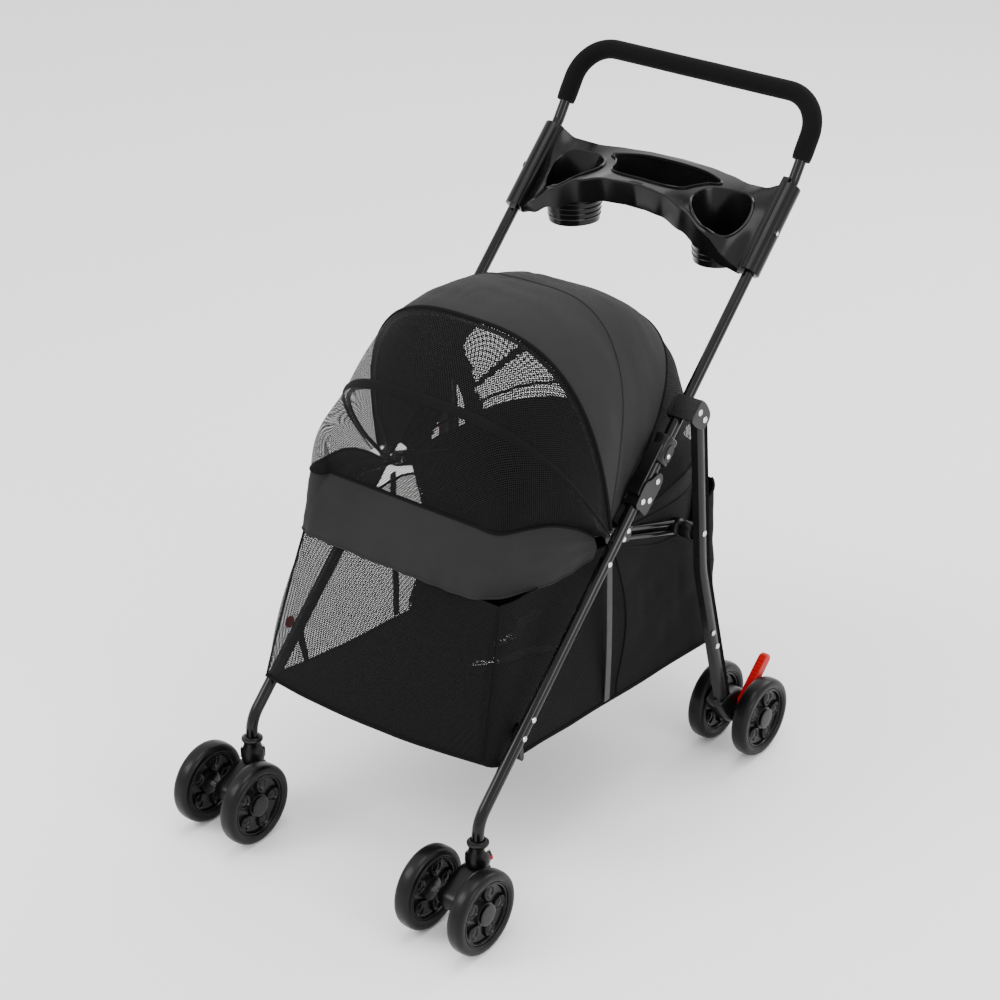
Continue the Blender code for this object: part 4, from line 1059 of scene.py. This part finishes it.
def basket_wire():
    """The wire loop under the floor, with the arms that it folds on."""
    edge = span("basket_loop")[1].x
    start = (0.0, *BASKET_FRONT)
    corners = [start, *mirrored([(BASKET_X, *BASKET_FRONT), (BASKET_X, *BASKET_REAR)]), start]
    bm = tube(rounded_path(corners, BASKET_BEND)[:-1], BASKET_R, 20, True)
    arm = near(BASKET_PIVOT, (-5.5, 0), (0, 7), (5.8, 0)) + near(BASKET_ARM_FOOT, (4, 4), (0, -4), (-4, 4))
    boss = mm((-1, 0), (-1, 7.6), (0.5, 8), (0.5, 0))
    for _, side in SIDES:
        inner, outer = side * (CABIN_X + 0.0015), side * (edge - 0.0004)
        prism(rounded_outline(arm, 30), side_point, inner, outer, bm)
        ends = [(side * x, *BASKET_ARM_FOOT) for x in (BASKET_X, edge - 0.0006)]
        cylinder(bm, *ends, 0.0036)
        turned(boss, (side * (edge - 0.001), *BASKET_PIVOT), AXIS_X * side, 28, bm)
    shown("basket_wire", outward(bm), GLOSS, "basket", "basket_loop")


# ---- Rear frame ------------------------------------------------------------------------------
LEG_X = 0.223
LEG_PAST_PIVOT = 0.0125
LEG_BEND = 0.25
KNEE = (LEG_X + 0.001, 0.1435, 0.332)
LEG_FOOT = (0.193, 0.1005)


def rear_leg(hand, side):
    node = f"rear_leg_{hand}"
    pivot = Vector(LEG_PIVOT)
    top = pivot - (Vector(RAIL_END) - pivot).normalized() * LEG_PAST_PIVOT
    foot_x = abs(middle(f"rear_axle_{hand}").x)
    corners = [(side * x, y, z) for x, y, z in ((LEG_X, *top), KNEE, (foot_x, *LEG_FOOT))]
    bm = outward(swept(rounded_path(corners, LEG_BEND), two_arcs(0.012, 0.025, 40)))
    shown(f"rear_leg_tube_{hand}", bm, SATIN, "rear_frame", node, smooth=30, bevel=0.0008)
    bm = bmesh.new()
    for y, z in ((0.163, 0.222), (0.173, 0.196)):
        share = (KNEE[2] - z) / (KNEE[2] - LEG_FOOT[1])
        x = KNEE[0] + (foot_x - KNEE[0]) * share + 0.006
        rivet(bm, Vector((side * x, y, z)), AXIS_X * side, 0.0044)
    rivet(bm, Vector((side * (LEG_X + 0.0066), *RAIL_END)), AXIS_X * side, 0.0046)
    shown(f"rear_leg_rivets_{hand}", bm, STEEL, "rear_frame", slot=node)
    wheel_housing(hand, side)
    brake(hand)


def wheel_housing(hand, side):
    node = f"wheel_bracket_{hand}"
    centre, size = span(node)
    x, half = centre.x, size.x
    outline = mm((178.5, 95.5), (190, 100), (206.5, 101.6), (226, 98.5), (242, 92), (255, 80), (261.5, 68))
    outline += mm((257.5, 51), (241, 40.5), (226, 42), (211, 49), (198, 64), (186, 81))
    bm = crowned(rounded_outline(outline, 60), side_point, x, half, 5.0, 11, 0.16)
    collar = near((half, 0), (-5, 12.5), (0.6, 11.8), (1.2, 10.5), (1.2, 4.5))
    turned(collar, (x, *middle(f"rear_axle_{hand}").yz), -AXIS_X * side, 32, bm)
    foot = Vector((x, 0.1955, 0.0905))
    up = Vector((0, -0.205, 0.978)).normalized()
    across = up.cross(AXIS_X)
    rings = []
    for along, k in ((0.0, 0.92), (0.002, 1.0), (0.012, 1.0), (0.0145, 0.9)):
        base = foot + up * along
        outline = squircle(0.0108 * k, 0.0175 * k, 3.4, 36)
        rings.append([base + AXIS_X * a + across * b for a, b in outline])
    loft(rings, bm)
    shown(f"wheel_housing_{hand}", outward(bm), PLASTIC, "rear_frame", node)
    place = Vector((x - side * 0.004, 0.1985, 0.0790))
    out = Vector((0, -0.85, -0.3)).normalized()
    rivets(f"wheel_housing_screw_{hand}", [place], out, 0.0040, "rear_frame", slot=node)


def brake(hand):
    """Bright red foot lever with a thick paddle and grip ribs."""
    node = f"brake_lever_{hand}"
    centre, size = span(node)
    x, half = centre.x, size.x
    outline = mm((219.5, 84), (220, 76), (226, 73.8), (233.5, 76.2), (260, 101), (286.5, 126.2))
    outline += mm((288.8, 131.2), (285, 136.2), (278.5, 137.2), (274.2, 134.5), (250, 113), (226, 90))
    bm = crowned(rounded_outline(outline, 72), side_point, x, half, 9.0, 11, 0.10)
    heel, toe = Vector((0.25, 0.113)), Vector((0.2742, 0.1345))
    run = (toe - heel).normalized()
    up = Vector((-run.y, run.x))
    for i in range(5):
        start = heel + run * (0.004 + 0.0056 * i)
        rib = [start + run * a + up * b for a, b in mm((0, 0), (2.2, 0), (1.8, 0.9), (0.4, 0.9))]
        prism(rib, side_point, x - half * 0.82, x + half * 0.82, bm)
    shown(f"brake_pedal_{hand}", outward(bm), RED, f"brake_{hand}", node)


def hook_and_post():
    low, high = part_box("fold_hook")
    tip = (HOOK_PIVOT[0], low.z + 0.010)
    outline = near(HOOK_PIVOT, (-7, 4), (-4, 8.5), (4, 8.5), (7, 4), (6.6, -80))
    outline += near(tip, (6, -2), (2, -9.5), (-7.5, -9.5), (-7.5, -4), (-1, 0), (-5.8, 12))
    outline += near(HOOK_PIVOT, (-6.6, -80))
    bm = prism(rounded_outline(outline, 90), side_point, low.x, high.x)
    shown("hook_strap", outward(bm), RED, "hook", "fold_hook", bevel=0.0005)
    rivets("hook_rivet", [Vector((low.x, *HOOK_PIVOT))], -AXIS_X, 0.0042, "hook", slot="fold_hook")
    centre, half = span("fold_post")
    profile = mm((0, 0), (0, 4.2), (5.5, 4), (6.8, 7.5), (7.8, 8.9), (10.5, 8.6), (11.8, 6.5), (12, 0))
    bm = turned(profile, centre + AXIS_X * half.x, -AXIS_X, 36)
    shown("post_knob", outward(bm), RED, "frame", "fold_post")


# ---- Canopy ----------------------------------------------------------------------------------
# an arch's section: its angle about the pivot line, its radius, its half width and its squareness
FRONT_HOOP = (100.0, 0.295, 0.203, 2.9)
MIDDLE_HOOP = (125.0, 0.253, 0.208, 2.9)
HOOD_SECTIONS = (
    (FRONT_HOOP[0] - 0.4, *FRONT_HOOP[1:]),
    (86, 0.304, 0.198, 3.0),
    (70, 0.313, 0.191, 3.1),
    (56, 0.321, 0.188, 3.2),
    (42.5, 0.3262, 0.1878, 3.2),
)
BACK_SECTIONS = (
    (46, 0.3215, 0.1855, 3.2),
    (37, 0.3250, 0.1855, 3.3),
    (24, 0.3265, 0.1855, 3.4),
    (10, 0.3235, 0.1860, 3.6),
    (-6.3, 0.3160, 0.1865, 3.8),
)
UPPER_SECTIONS = (
    (MIDDLE_HOOP[0] - 0.4, *MIDDLE_HOOP[1:]),
    (112, 0.277, 0.206, 2.9),
    (FRONT_HOOP[0] + 0.4, *FRONT_HOOP[1:]),
)
HEART = Vector((0, *CANOPY_PIVOT))
HOOD_START = 1.2  # where a cloth's arch starts, in degrees round it
NET_START = 1.5
HOOD_COUNT = 120  # spaces along the arch of the hood and the nets
BACK_COUNT = 160
HOOP_WIRE_R = 0.003
HOOP_WIRE_INSET = 0.0068


def leaning(degrees):
    """Direction away from the pivot line at an angle about it."""
    return Vector((0, math.cos(math.radians(degrees)), math.sin(math.radians(degrees))))


def arch_point(section, angle, inset):
    degrees, radius, width, power = section
    c, s = math.cos(angle), math.sin(angle)
    x = (width - inset) * math.copysign(abs(c) ** (2 / power), c)
    return HEART + AXIS_X * x + leaning(degrees) * ((radius - inset) * max(s, 0.0) ** (2 / power))


def blended(sections, t):
    """The section at a share of the way through the listed ones."""
    last = len(sections) - 1
    place = t * last
    k = min(int(place), last - 1)
    picks = [np.array(sections[min(max(k + m, 0), last)], float) for m in (-1, 0, 1, 2)]
    return tuple(catmull_rom(*picks, place - k))


def even_arch(section, count, start, inset=0.0):
    """Points evenly spaced along the arch."""
    low = math.radians(start)
    raw = [arch_point(section, low + (math.pi - 2 * low) * i / 720, inset) for i in range(721)]
    totals = runs((b - a).length for a, b in zip(raw, raw[1:]))
    found = []
    k = 0
    for i in range(count + 1):
        target = totals[-1] * i / count
        while k < len(totals) - 2 and totals[k + 1] < target:
            k += 1
        share = (target - totals[k]) / max(totals[k + 1] - totals[k], 1e-9)
        found.append(raw[k].lerp(raw[k + 1], min(max(share, 0.0), 1.0)))
    return found


def canopy_rows(sections, rows, count, start, relief, seed):
    """Arches through the sections, pushed out by relief(point, t, s) and held at the first and last."""
    found = []
    for i in range(rows + 1):
        t = i / rows
        free = min(1.0, 6 * t, 6 * (1 - t))
        row = []
        for j, point in enumerate(even_arch(blended(sections, t), count, start)):
            away = Vector((point.x * 0.9, point.y - HEART.y, point.z - HEART.z + 0.02)).normalized()
            out = relief(point, t, j / count) + wrinkle(point, 9, seed) * 0.0012
            row.append(point + away * (out * free))
        found.append(row)
    return found


def hood_relief(point, t, s):
    folds = wrinkle((point.x * 1.2, point.y * 3.2, point.z * 0.8), 11, 4.2)
    sag = -0.0035 * math.sin(math.pi * t) ** 2 * math.sin(math.pi * s)
    crease = max(0.0, wrinkle((point.x * 4, point.y * 1.1, point.z * 1.1), 16, 9.1)) ** 2
    return folds * 0.0022 + sag - 0.0022 * crease


def back_relief(point, t, s):
    folds = wrinkle((point.x * 1.4, point.y * 1.2, point.z * 2.6), 12, 7.7)
    bulge = 0.013 * math.exp(-(((t - 0.84) / 0.12) ** 2)) - 0.004 * math.exp(-(((t - 0.55) / 0.2) ** 2))
    return folds * 0.003 + bulge * math.sin(math.pi * s) ** 0.3


def net_relief(point, t, s):
    return -0.002 * math.sin(math.pi * t)


# edges of the rear window at each angle of the canopy, as shares along the arch (0.5 crown, 1 foot)
WINDOW_INNER = ((-7, 0.61), (1, 0.62), (22, 0.695), (46, 0.715))
WINDOW_OUTER = ((-7, 0.795), (0, 0.80), (14, 0.81), (32, 0.80), (46, 0.79))
WINDOW_SPAN = (0.5, 43)
STRAP_DEGREES = 21  # where the strap across the window crosses the share STRAP_SHARE
STRAP_SHARE = 0.70
STRAP_SLANT = 40
STRAP_HALF = 1.7
FLANK_SPAN = (-2, 33)
FLANK_EDGES = (0.845, 0.935)
FLANK_TAPER = 0.0025


def is_window(t, s):
    """Whether the back panel is net there: the window between its borders and strap, or the flank."""
    s = 0.5 + abs(s - 0.5)
    degrees = blended(BACK_SECTIONS, t)[0]
    inner, outer = along_table(WINDOW_INNER, degrees), along_table(WINDOW_OUTER, degrees)
    inside = WINDOW_SPAN[0] < degrees < WINDOW_SPAN[1] and inner < s < outer
    strap = abs(degrees - STRAP_DEGREES + (s - STRAP_SHARE) * STRAP_SLANT) < STRAP_HALF
    flank_top = FLANK_EDGES[1] - (degrees - FLANK_SPAN[0]) * FLANK_TAPER
    flank = FLANK_SPAN[0] < degrees < FLANK_SPAN[1] and FLANK_EDGES[0] < s < flank_top
    return (inside and not strap) or flank


def canopy():
    rows = canopy_rows(HOOD_SECTIONS, 44, HOOD_COUNT, HOOD_START, hood_relief, 3.0)
    hood = cloth("hood_cloth", rows, CHARCOAL, ("front_hoop",), node="canopy_hood")
    piping("hood_piping", rows[0], 0.0032, "canopy_front")
    seam = [p + (p - HEART).normalized() * 0.0004 for p in rows[20]]
    for obj in (hood, piping("hood_seam", seam, 0.0011, look=CHARCOAL, slot="canopy_hood")):
        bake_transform(obj)
    piping("hood_hem", rows[-1], 0.0018, "frame")
    rows = canopy_rows(BACK_SECTIONS, 56, BACK_COUNT, HOOD_START, back_relief, 5.0)
    cloth("back_cloth", rows, [BLACK_CLOTH, NET], ("cabin",), "frame", "back_panel", is_net=is_window)
    piping("back_hem", rows[-1], 0.0022, "frame")
    piping("back_crest_piping", rows[46], 0.0020, "frame")
    rows = canopy_rows(UPPER_SECTIONS, 20, HOOD_COUNT, NET_START, net_relief, 1.0)
    net = cloth("dome_net_upper", rows, NET, ("middle_hoop", "front_hoop"), node="dome_upper")
    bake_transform(net)
    for name, section, foot_x in (("front_hoop", FRONT_HOOP, 0.183), ("middle_hoop", MIDDLE_HOOP, 0.190)):
        foot, far_foot = mirrored([HEART + AXIS_X * foot_x + leaning(section[0]) * 0.018])
        path = [foot, *even_arch(section, 72, 9, HOOP_WIRE_INSET), far_foot]
        body = "canopy_" + name.replace("_hoop", "")
        shown(f"{name}_wire", outward(tube(path, HOOP_WIRE_R, 16)), GLOSS, body, name)
    degrees, radius, width, power = MIDDLE_HOOP
    rows = []
    for shift, lift in ((-1.5, 0.0006), (-0.7, 0.0022), (0.0, 0.0026), (0.7, 0.0022), (1.5, 0.0006)):
        section = (degrees + shift, radius + lift - shift * 0.0018, width + lift, power)
        rows.append(even_arch(section, HOOD_COUNT, NET_START))
    cloth("middle_hoop_band", rows, BLACK_CLOTH, ("middle_hoop",), "canopy_middle", slot="middle_hoop")


# ---- Rim band and lower dome -----------------------------------------------------------------
BAND_BACK = -0.066
BAND_SIDE = -0.150
BAND_FRONT = -0.2495
BAND_X = 0.1865
BAND_RIGHT_X = 0.1885
BAND_EASE = 0.045
BAND_BENDS = (0.15, 0.06, 0.03)
BAND_HEIGHT = 0.0795


def band_sections():
    """Foot, top and inward direction of the rim band at each point of its run."""
    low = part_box("rim_band")[0].z
    plan = [(BAND_X, BAND_BACK), (BAND_X, BAND_SIDE), (BAND_X - BAND_EASE, BAND_FRONT)]
    plan += [(-BAND_RIGHT_X, BAND_FRONT), (-BAND_RIGHT_X, BAND_BACK)]
    path = finely(rounded_path([(x, y, low) for x, y in plan], BAND_BENDS, 20), 0.004)
    tops = []
    inwards = []
    for point, along in zip(path, directions(path)):
        inward = along.cross(AXIS_Z).normalized()
        lean = 0.03 + 0.47 * max(0.0, inward.y)
        run = min(1.0, (BAND_BACK - point.y) / (BAND_BACK - BAND_SIDE))
        height = BAND_HEIGHT * (0.4 + 0.6 * (run + run * (1 - run) * 0.5))
        tops.append(point + inward * (lean * height) + AXIS_Z * height)
        inwards.append(inward)
    for _ in range(14):
        tops[1:-1] = [(a + b * 2 + c) / 4 for a, b, c in zip(tops, tops[1:], tops[2:])]
    return list(zip(path, tops, inwards))


def rim_and_dome():
    sections = band_sections()
    last = len(sections) - 1

    def band_point(t, s):
        foot, top, inward = sections[round(s * last)]
        swell = math.sin(math.pi * t)
        out = 0.0045 * swell**0.8 + wrinkle((s * 2.6, t * 1.1, 0.3), 4.5, 6.1) * 0.0034 * swell
        out += max(0.0, wrinkle((s * 6 + t * 0.8, t * 0.9, 2.3), 5.5, 1.7)) ** 2 * 0.0020 * swell
        out += 0.0010 * math.sin(s * 95 + 2 * math.sin(s * 17)) * (1 - t) ** 3
        drop = 0.005 * math.sin(math.pi * s) * (1 - t) ** 2
        return foot.lerp(top, t) - inward * out - AXIS_Z * drop

    rows = grid_of(14, last, band_point)
    cloth("rim_cloth", rows, CHARCOAL, ("rim_tube",), "rim", "rim_band")
    piping("rim_piping_top", rows[-1], 0.0026, "rim")
    piping("rim_piping_low", rows[0], 0.0015, "rim", CHARCOAL)
    upper = even_arch((MIDDLE_HOOP[0] + 0.4, *MIDDLE_HOOP[1:]), last, NET_START)
    heart = HEART + AXIS_Z * 0.02

    def net_point(t, s):
        k = round(s * last)
        point = (sections[k][1] + AXIS_Z * 0.0026).lerp(upper[k], t)
        return point + (point - heart).normalized() * (0.012 * math.sin(math.pi * t))

    rows = grid_of(18, last, net_point)
    cloth("dome_net_lower", rows, NET, ("middle_hoop",), "canopy_middle", "dome_lower")


# ---- Cabin -----------------------------------------------------------------------------------
# heights of the walls' top and foot, from the front of the cabin to its rear
CABIN_TOP = mm((-244, 427), (-40, 427), (120, 370), (165, 364), (262, 408))
CABIN_FOOT = mm((-295.5, 209), (-200, 199), (-100, 190.5), (80, 177), (257, 164.5))
FOOT_FRONT, FOOT_REAR = -0.2955, 0.257
TOP_FRONT, TOP_REAR = -0.2440, 0.2615
FOOT_X = CABIN_X - 0.0015
TOP_X = 0.1745
FAR_CORNER = 0.0165  # how far the floor's far front corner is drawn out
WALL_ROWS = 28


def held_to(table, y):
    return along_table(table, min(max(y, table[0][0]), table[-1][0]))


def front_y(x):
    """The floor's bowed front edge."""
    return -0.312 + 0.022 * ((x + 0.05) / 0.21) ** 2


def wall_point(side, share, t):
    """share runs from the front edge to the rear wall, t from the floor to the top edge."""
    y_low = FOOT_FRONT + share * (FOOT_REAR - FOOT_FRONT)
    y_high = TOP_FRONT + share * (TOP_REAR - TOP_FRONT)
    foot = held_to(CABIN_FOOT, y_low)
    z = foot + (held_to(CABIN_TOP, y_high) - foot) * t
    x = FOOT_X + (TOP_X - FOOT_X) * t**1.3
    corner = 0.016 * max(0.0, (share - 0.95) / 0.05) ** 2
    if side > 0:
        corner += 0.018 * max(0.0, 1 - share / 0.07) ** 2 * (0.4 + 0.6 * (1 - t))
    else:
        corner -= FAR_CORNER * max(0.0, 1 - share / 0.25) ** 1.5 * (1 - t)
    y = y_low + (y_high - y_low) * t
    y += (front_y(side * (x - corner)) - y_low) * (1 - t) * max(0.0, 1 - share / 0.2) ** 2
    belly = 0.004 * math.sin(math.pi * t) * math.sin(math.pi * share) ** 0.5
    return Vector((side * (x - corner - belly * 0.4), y, z))


def net_edge(t):
    """Share of the wall's run at which its net ends and its cloth begins."""
    return 0.47 + 0.055 * math.sin(math.pi * min(1.0, (1 - t) * 1.1)) + 0.05 * (1 - t)


def squeeze(obj):
    """Cabin walls hang from the top edge; this bakes the piece's placement into its mesh."""
    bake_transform(obj)


def follow_rim(obj):
    """The cabin's front hangs from the rim wire; this bakes the piece's placement into its mesh."""
    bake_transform(obj)


def lift(obj):
    """The floor lies on the basket wire, apart from its front edge; this bakes the piece's placement into its
    mesh.
    """
    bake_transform(obj)


def cabin_side(hand, side):
    def point(t, s):
        place = wall_point(side, s, t)
        in_cloth = min(1.0, max(0.0, (s - net_edge(t)) / 0.1)) * math.sin(math.pi * t)
        folds = wrinkle((place.y * 1.1, place.z * 2.4, side), 13, 3.3) * 0.0028
        folds += 0.002 * max(0.0, wrinkle((place.y * 3, place.z * 0.8, 1), 14, 8.0))
        place.x -= side * (0.0015 + folds) * in_cloth
        return place

    rows = grid_of(WALL_ROWS, 90, point)
    node = "cabin" if side > 0 else None
    is_net = lambda t, s: s < net_edge(t)
    looks, rests_on = [BLACK_CLOTH, NET], (f"seat_rail_{hand}",)
    squeeze(cloth(f"cabin_side_{hand}", rows, looks, rests_on, node=node, slot="cabin", is_net=is_net))
    levels = [i / WALL_ROWS for i in range(WALL_ROWS + 1)]
    edge = [wall_point(side, net_edge(t), t) + AXIS_X * (side * 0.0006) for t in levels]
    squeeze(piping(f"cabin_side_binding_{hand}", edge, 0.0013, slot="cabin"))
    follow_rim(piping(f"cabin_corner_piping_{hand}", [row[0] for row in rows], 0.0018, slot="cabin"))
    squeeze(piping(f"cabin_top_binding_{hand}", rows[-1], 0.0020, slot="cabin"))


def cabin():
    def front_point(t, s):
        far, near_end = (wall_point(side, 0.0, t) for side in (-1, 1))
        x, y = far.lerp(near_end, s).xy
        if 0 < s < 1:
            y = y * t + front_y(x) * (1 - t)
        return Vector((x, y + 0.003 * math.sin(math.pi * t) * 4 * s * (1 - s), far.z))

    front = cloth("cabin_front_net", grid_of(24, 80, front_point), NET, ("rim_tube",), slot="cabin")
    follow_rim(front)
    rear_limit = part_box("cabin")[1].y + 0.008

    def rear_point(t, s):
        s = 2 * s - 1
        left = wall_point(1, 1.0, t)
        folds = wrinkle((s * 0.3, t * 0.5, 4), 7, 5.5) * 0.004
        bulge = 0.003 * min(1.0, 8 * t) * (1 - s**8) + (0.005 + folds) * math.sin(math.pi * t) * (1 - s * s)
        return Vector((left.x * s, min(left.y + bulge, rear_limit), left.z))

    rows = grid_of(24, 80, rear_point)
    squeeze(cloth("cabin_rear_cloth", rows, BLACK_CLOTH, ("back_panel",), slot="cabin"))
    hem = even_arch(BACK_SECTIONS[-1], BACK_COUNT, HOOD_START)

    def gusset_point(t, s):
        """From the back panel's hem down to just inside the cabin's top edge."""
        high = hem[round(s * BACK_COUNT)]
        y = min(high.y, 0.2600)
        x = min(abs(high.x), TOP_X - 0.001 - 0.016 * max(0.0, (y - 0.236) / 0.024) ** 2)
        low = Vector((math.copysign(x, high.x), y, min(held_to(CABIN_TOP, y) - 0.010, high.z - 0.002)))
        return high.lerp(low, t)

    rows = grid_of(8, BACK_COUNT, gusset_point)
    squeeze(cloth("cabin_gusset", rows, BLACK_CLOTH, ("back_panel",), slot="cabin"))


def floor():
    """Floor sheet with a piped edge, and its two tethers."""

    def point(t, s):
        far, near_end = (wall_point(side, t, 0.0) for side in (-1, 1))
        place = far.lerp(near_end, s)
        if 0 < s < 1:
            place.y += (front_y(place.x) - place.y) * max(0.0, 1 - t / 0.2) ** 2
        across = 2 * s - 1
        soft = 0.0016 * wrinkle((across * 0.4, t * 0.5, 0), 9, 1.4) * (1 - across**4)
        place.z += 0.0014 * (1 - across * across) + soft
        return place

    rows = grid_of(60, 60, point)
    sheet = cloth("cabin_floor_cloth", rows, BLACK_CLOTH, ("basket_loop",), slot="cabin")
    lift(sheet)
    edge = [row[-1] for row in rows[::-1]] + rows[0][-2:0:-1] + [row[0] for row in rows]
    lift(piping("cabin_floor_piping", edge, 0.0028, slot="cabin"))
    tether("tether_left", Vector((0.036, 0.040)), Vector((-0.3, -1.0)).normalized())
    tether("tether_right", Vector((-0.046, 0.118)), Vector((0.25, -1.0)).normalized())


def tether(name, start, way):
    """Short webbing strap that ends in a silver snap hook, lying on the floor."""
    points = []
    for run, aside, rise in mm((0, 0, 4), (20, 4, 6), (45, -5, 5), (70, 4, 6), (92, 0, 5)):
        place = start + way * run + Vector((-way.y, way.x)) * aside
        points.append((*place, held_to(CABIN_FOOT, place.y) + rise))
    path = smooth_curve(points, 40)
    strap = swept(path, mm((7.5, 0.8), (-7.5, 0.8), (-7.5, -0.8), (7.5, -0.8)))
    shown(name, outward(strap), BLACK_STRAP, "basket", slot="cabin")
    end = path[-1]
    along = (end - path[-3]).normalized()
    across = along.cross(AXIS_Z).normalized()
    place = lambda a, b: end + along * a + across * b
    bm = bmesh.new()
    tube([place(0.004 + 0.004 * c, 0.0085 * s) for c, s in circle(1, 24)], 0.0012, 8, True, bm)
    cylinder(bm, place(0.0075, 0), place(0.017, 0), 0.0026, 16)
    swell = [max(0.0, math.sin(math.pi * i / 14)) ** 0.8 for i in range(15)]
    tube([place(0.017 + 0.024 * i / 14, 0.0075 * k) for i, k in enumerate(swell)], 0.0016, 10, bm=bm)
    tube([place(0.0175, -0.003), place(0.04, 0.0004)], 0.0012, 8, bm=bm)
    shown(f"{name}_snap", outward(bm), STEEL, "basket", slot="cabin")


def hanger(hand, side):
    """Webbing from the seat rail down to the basket wire."""
    node = f"hanger_strap_{hand}"
    low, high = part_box(node)
    x, y = middle(node).xy
    rings = []
    for i in range(31):
        t = i / 30
        p = Vector((x + side * 0.0012 * math.sin(math.pi * t), y + 0.001 * math.sin(5 * t), low.z + 0.001))
        p.z += (high.z - low.z - 0.004) * t
        outline = mm((0.7, -5.8), (0.9, 0), (0.7, 5.8), (-0.7, 5.8), (-0.7, -5.8))
        rings.append([p + Vector((side * a, b, 0)) for a, b in outline])
    bm = bmesh.new()
    uv = bm.loops.layers.uv.new("cloth")
    loft(rings, bm)
    for loop in (loop for face in bm.faces for loop in face.loops):
        loop[uv].uv = loop.vert.co.yz
    strap = shown(f"hanger_webbing_{hand}", outward(bm), STRAP, stands_for=node, smooth=60)
    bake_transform(strap)
    place = Vector((x + side * 0.0012, y, high.z - 0.010))
    rivets(f"hanger_rivet_{hand}", [place], AXIS_X * side, 0.0038, "frame", slot=node)


# ---- Stage -----------------------------------------------------------------------------------
def placed(name, data, place, target):
    """A lamp or camera at a place, looking at the target."""
    obj = bpy.data.objects.new(name, data)
    obj.location = place
    obj.rotation_mode = "QUATERNION"
    obj.rotation_quaternion = (Vector(target) - Vector(place)).to_track_quat("-Z", "Y")
    bpy.context.scene.collection.objects.link(obj)
    return obj


def stage():
    look = Shader("studio_floor", (0.93, 0.93, 0.93), 0.75)
    look.rough(look.noise(3, 2), 0.7, 0.8)
    size = 14.0
    mesh = bpy.data.meshes.new("studio_floor")
    mesh.from_pydata([(a, b, 0) for a, b in oblong(-size, size, -size, size)], [], [(0, 1, 2, 3)])
    mesh.materials.append(look.material)
    obj = bpy.data.objects.new("studio_floor", mesh)
    bpy.context.scene.collection.objects.link(obj)
    world = bpy.data.worlds.new("studio")
    bpy.context.scene.world = world
    world.use_nodes = True
    background = world.node_tree.nodes["Background"]
    background.inputs["Color"].default_value = (1.0, 1.0, 1.0, 1.0)
    background.inputs["Strength"].default_value = 1.6
    for name, place, size, power in (
        ("key", (-1.6, -2.2, 2.6), 1.4, 55),
        ("side", (2.8, -0.4, 1.5), 1.2, 36),
        ("back", (0.4, 2.8, 2.4), 1.6, 45),
        ("top", (0.0, -0.2, 3.2), 1.6, 36),
    ):
        lamp = bpy.data.lights.new(name, "AREA")
        lamp.shape = "SQUARE"
        lamp.size = size
        lamp.energy = power
        placed(name, lamp, place, (0, 0, 0.45))


def camera():
    data = bpy.data.cameras.new("camera")
    data.lens = 91.97
    data.sensor_width = 36.0
    obj = placed("camera", data, (1.9362, -2.5015, 2.0997), (0.0095, -0.0439, 0.450))
    bpy.context.scene.camera = obj


def both(build):
    for hand, side in SIDES:
        build(hand, side)


both(wheels)
both(caster)
both(front_leg)
both(fold_joint)
handle()
both(leg_bracket)
tray()
both(seat_rail)
rim_wire()
basket_wire()
both(rear_leg)
hook_and_post()
canopy()
rim_and_dome()
both(cabin_side)
cabin()
floor()
both(hanger)
stage()
camera()
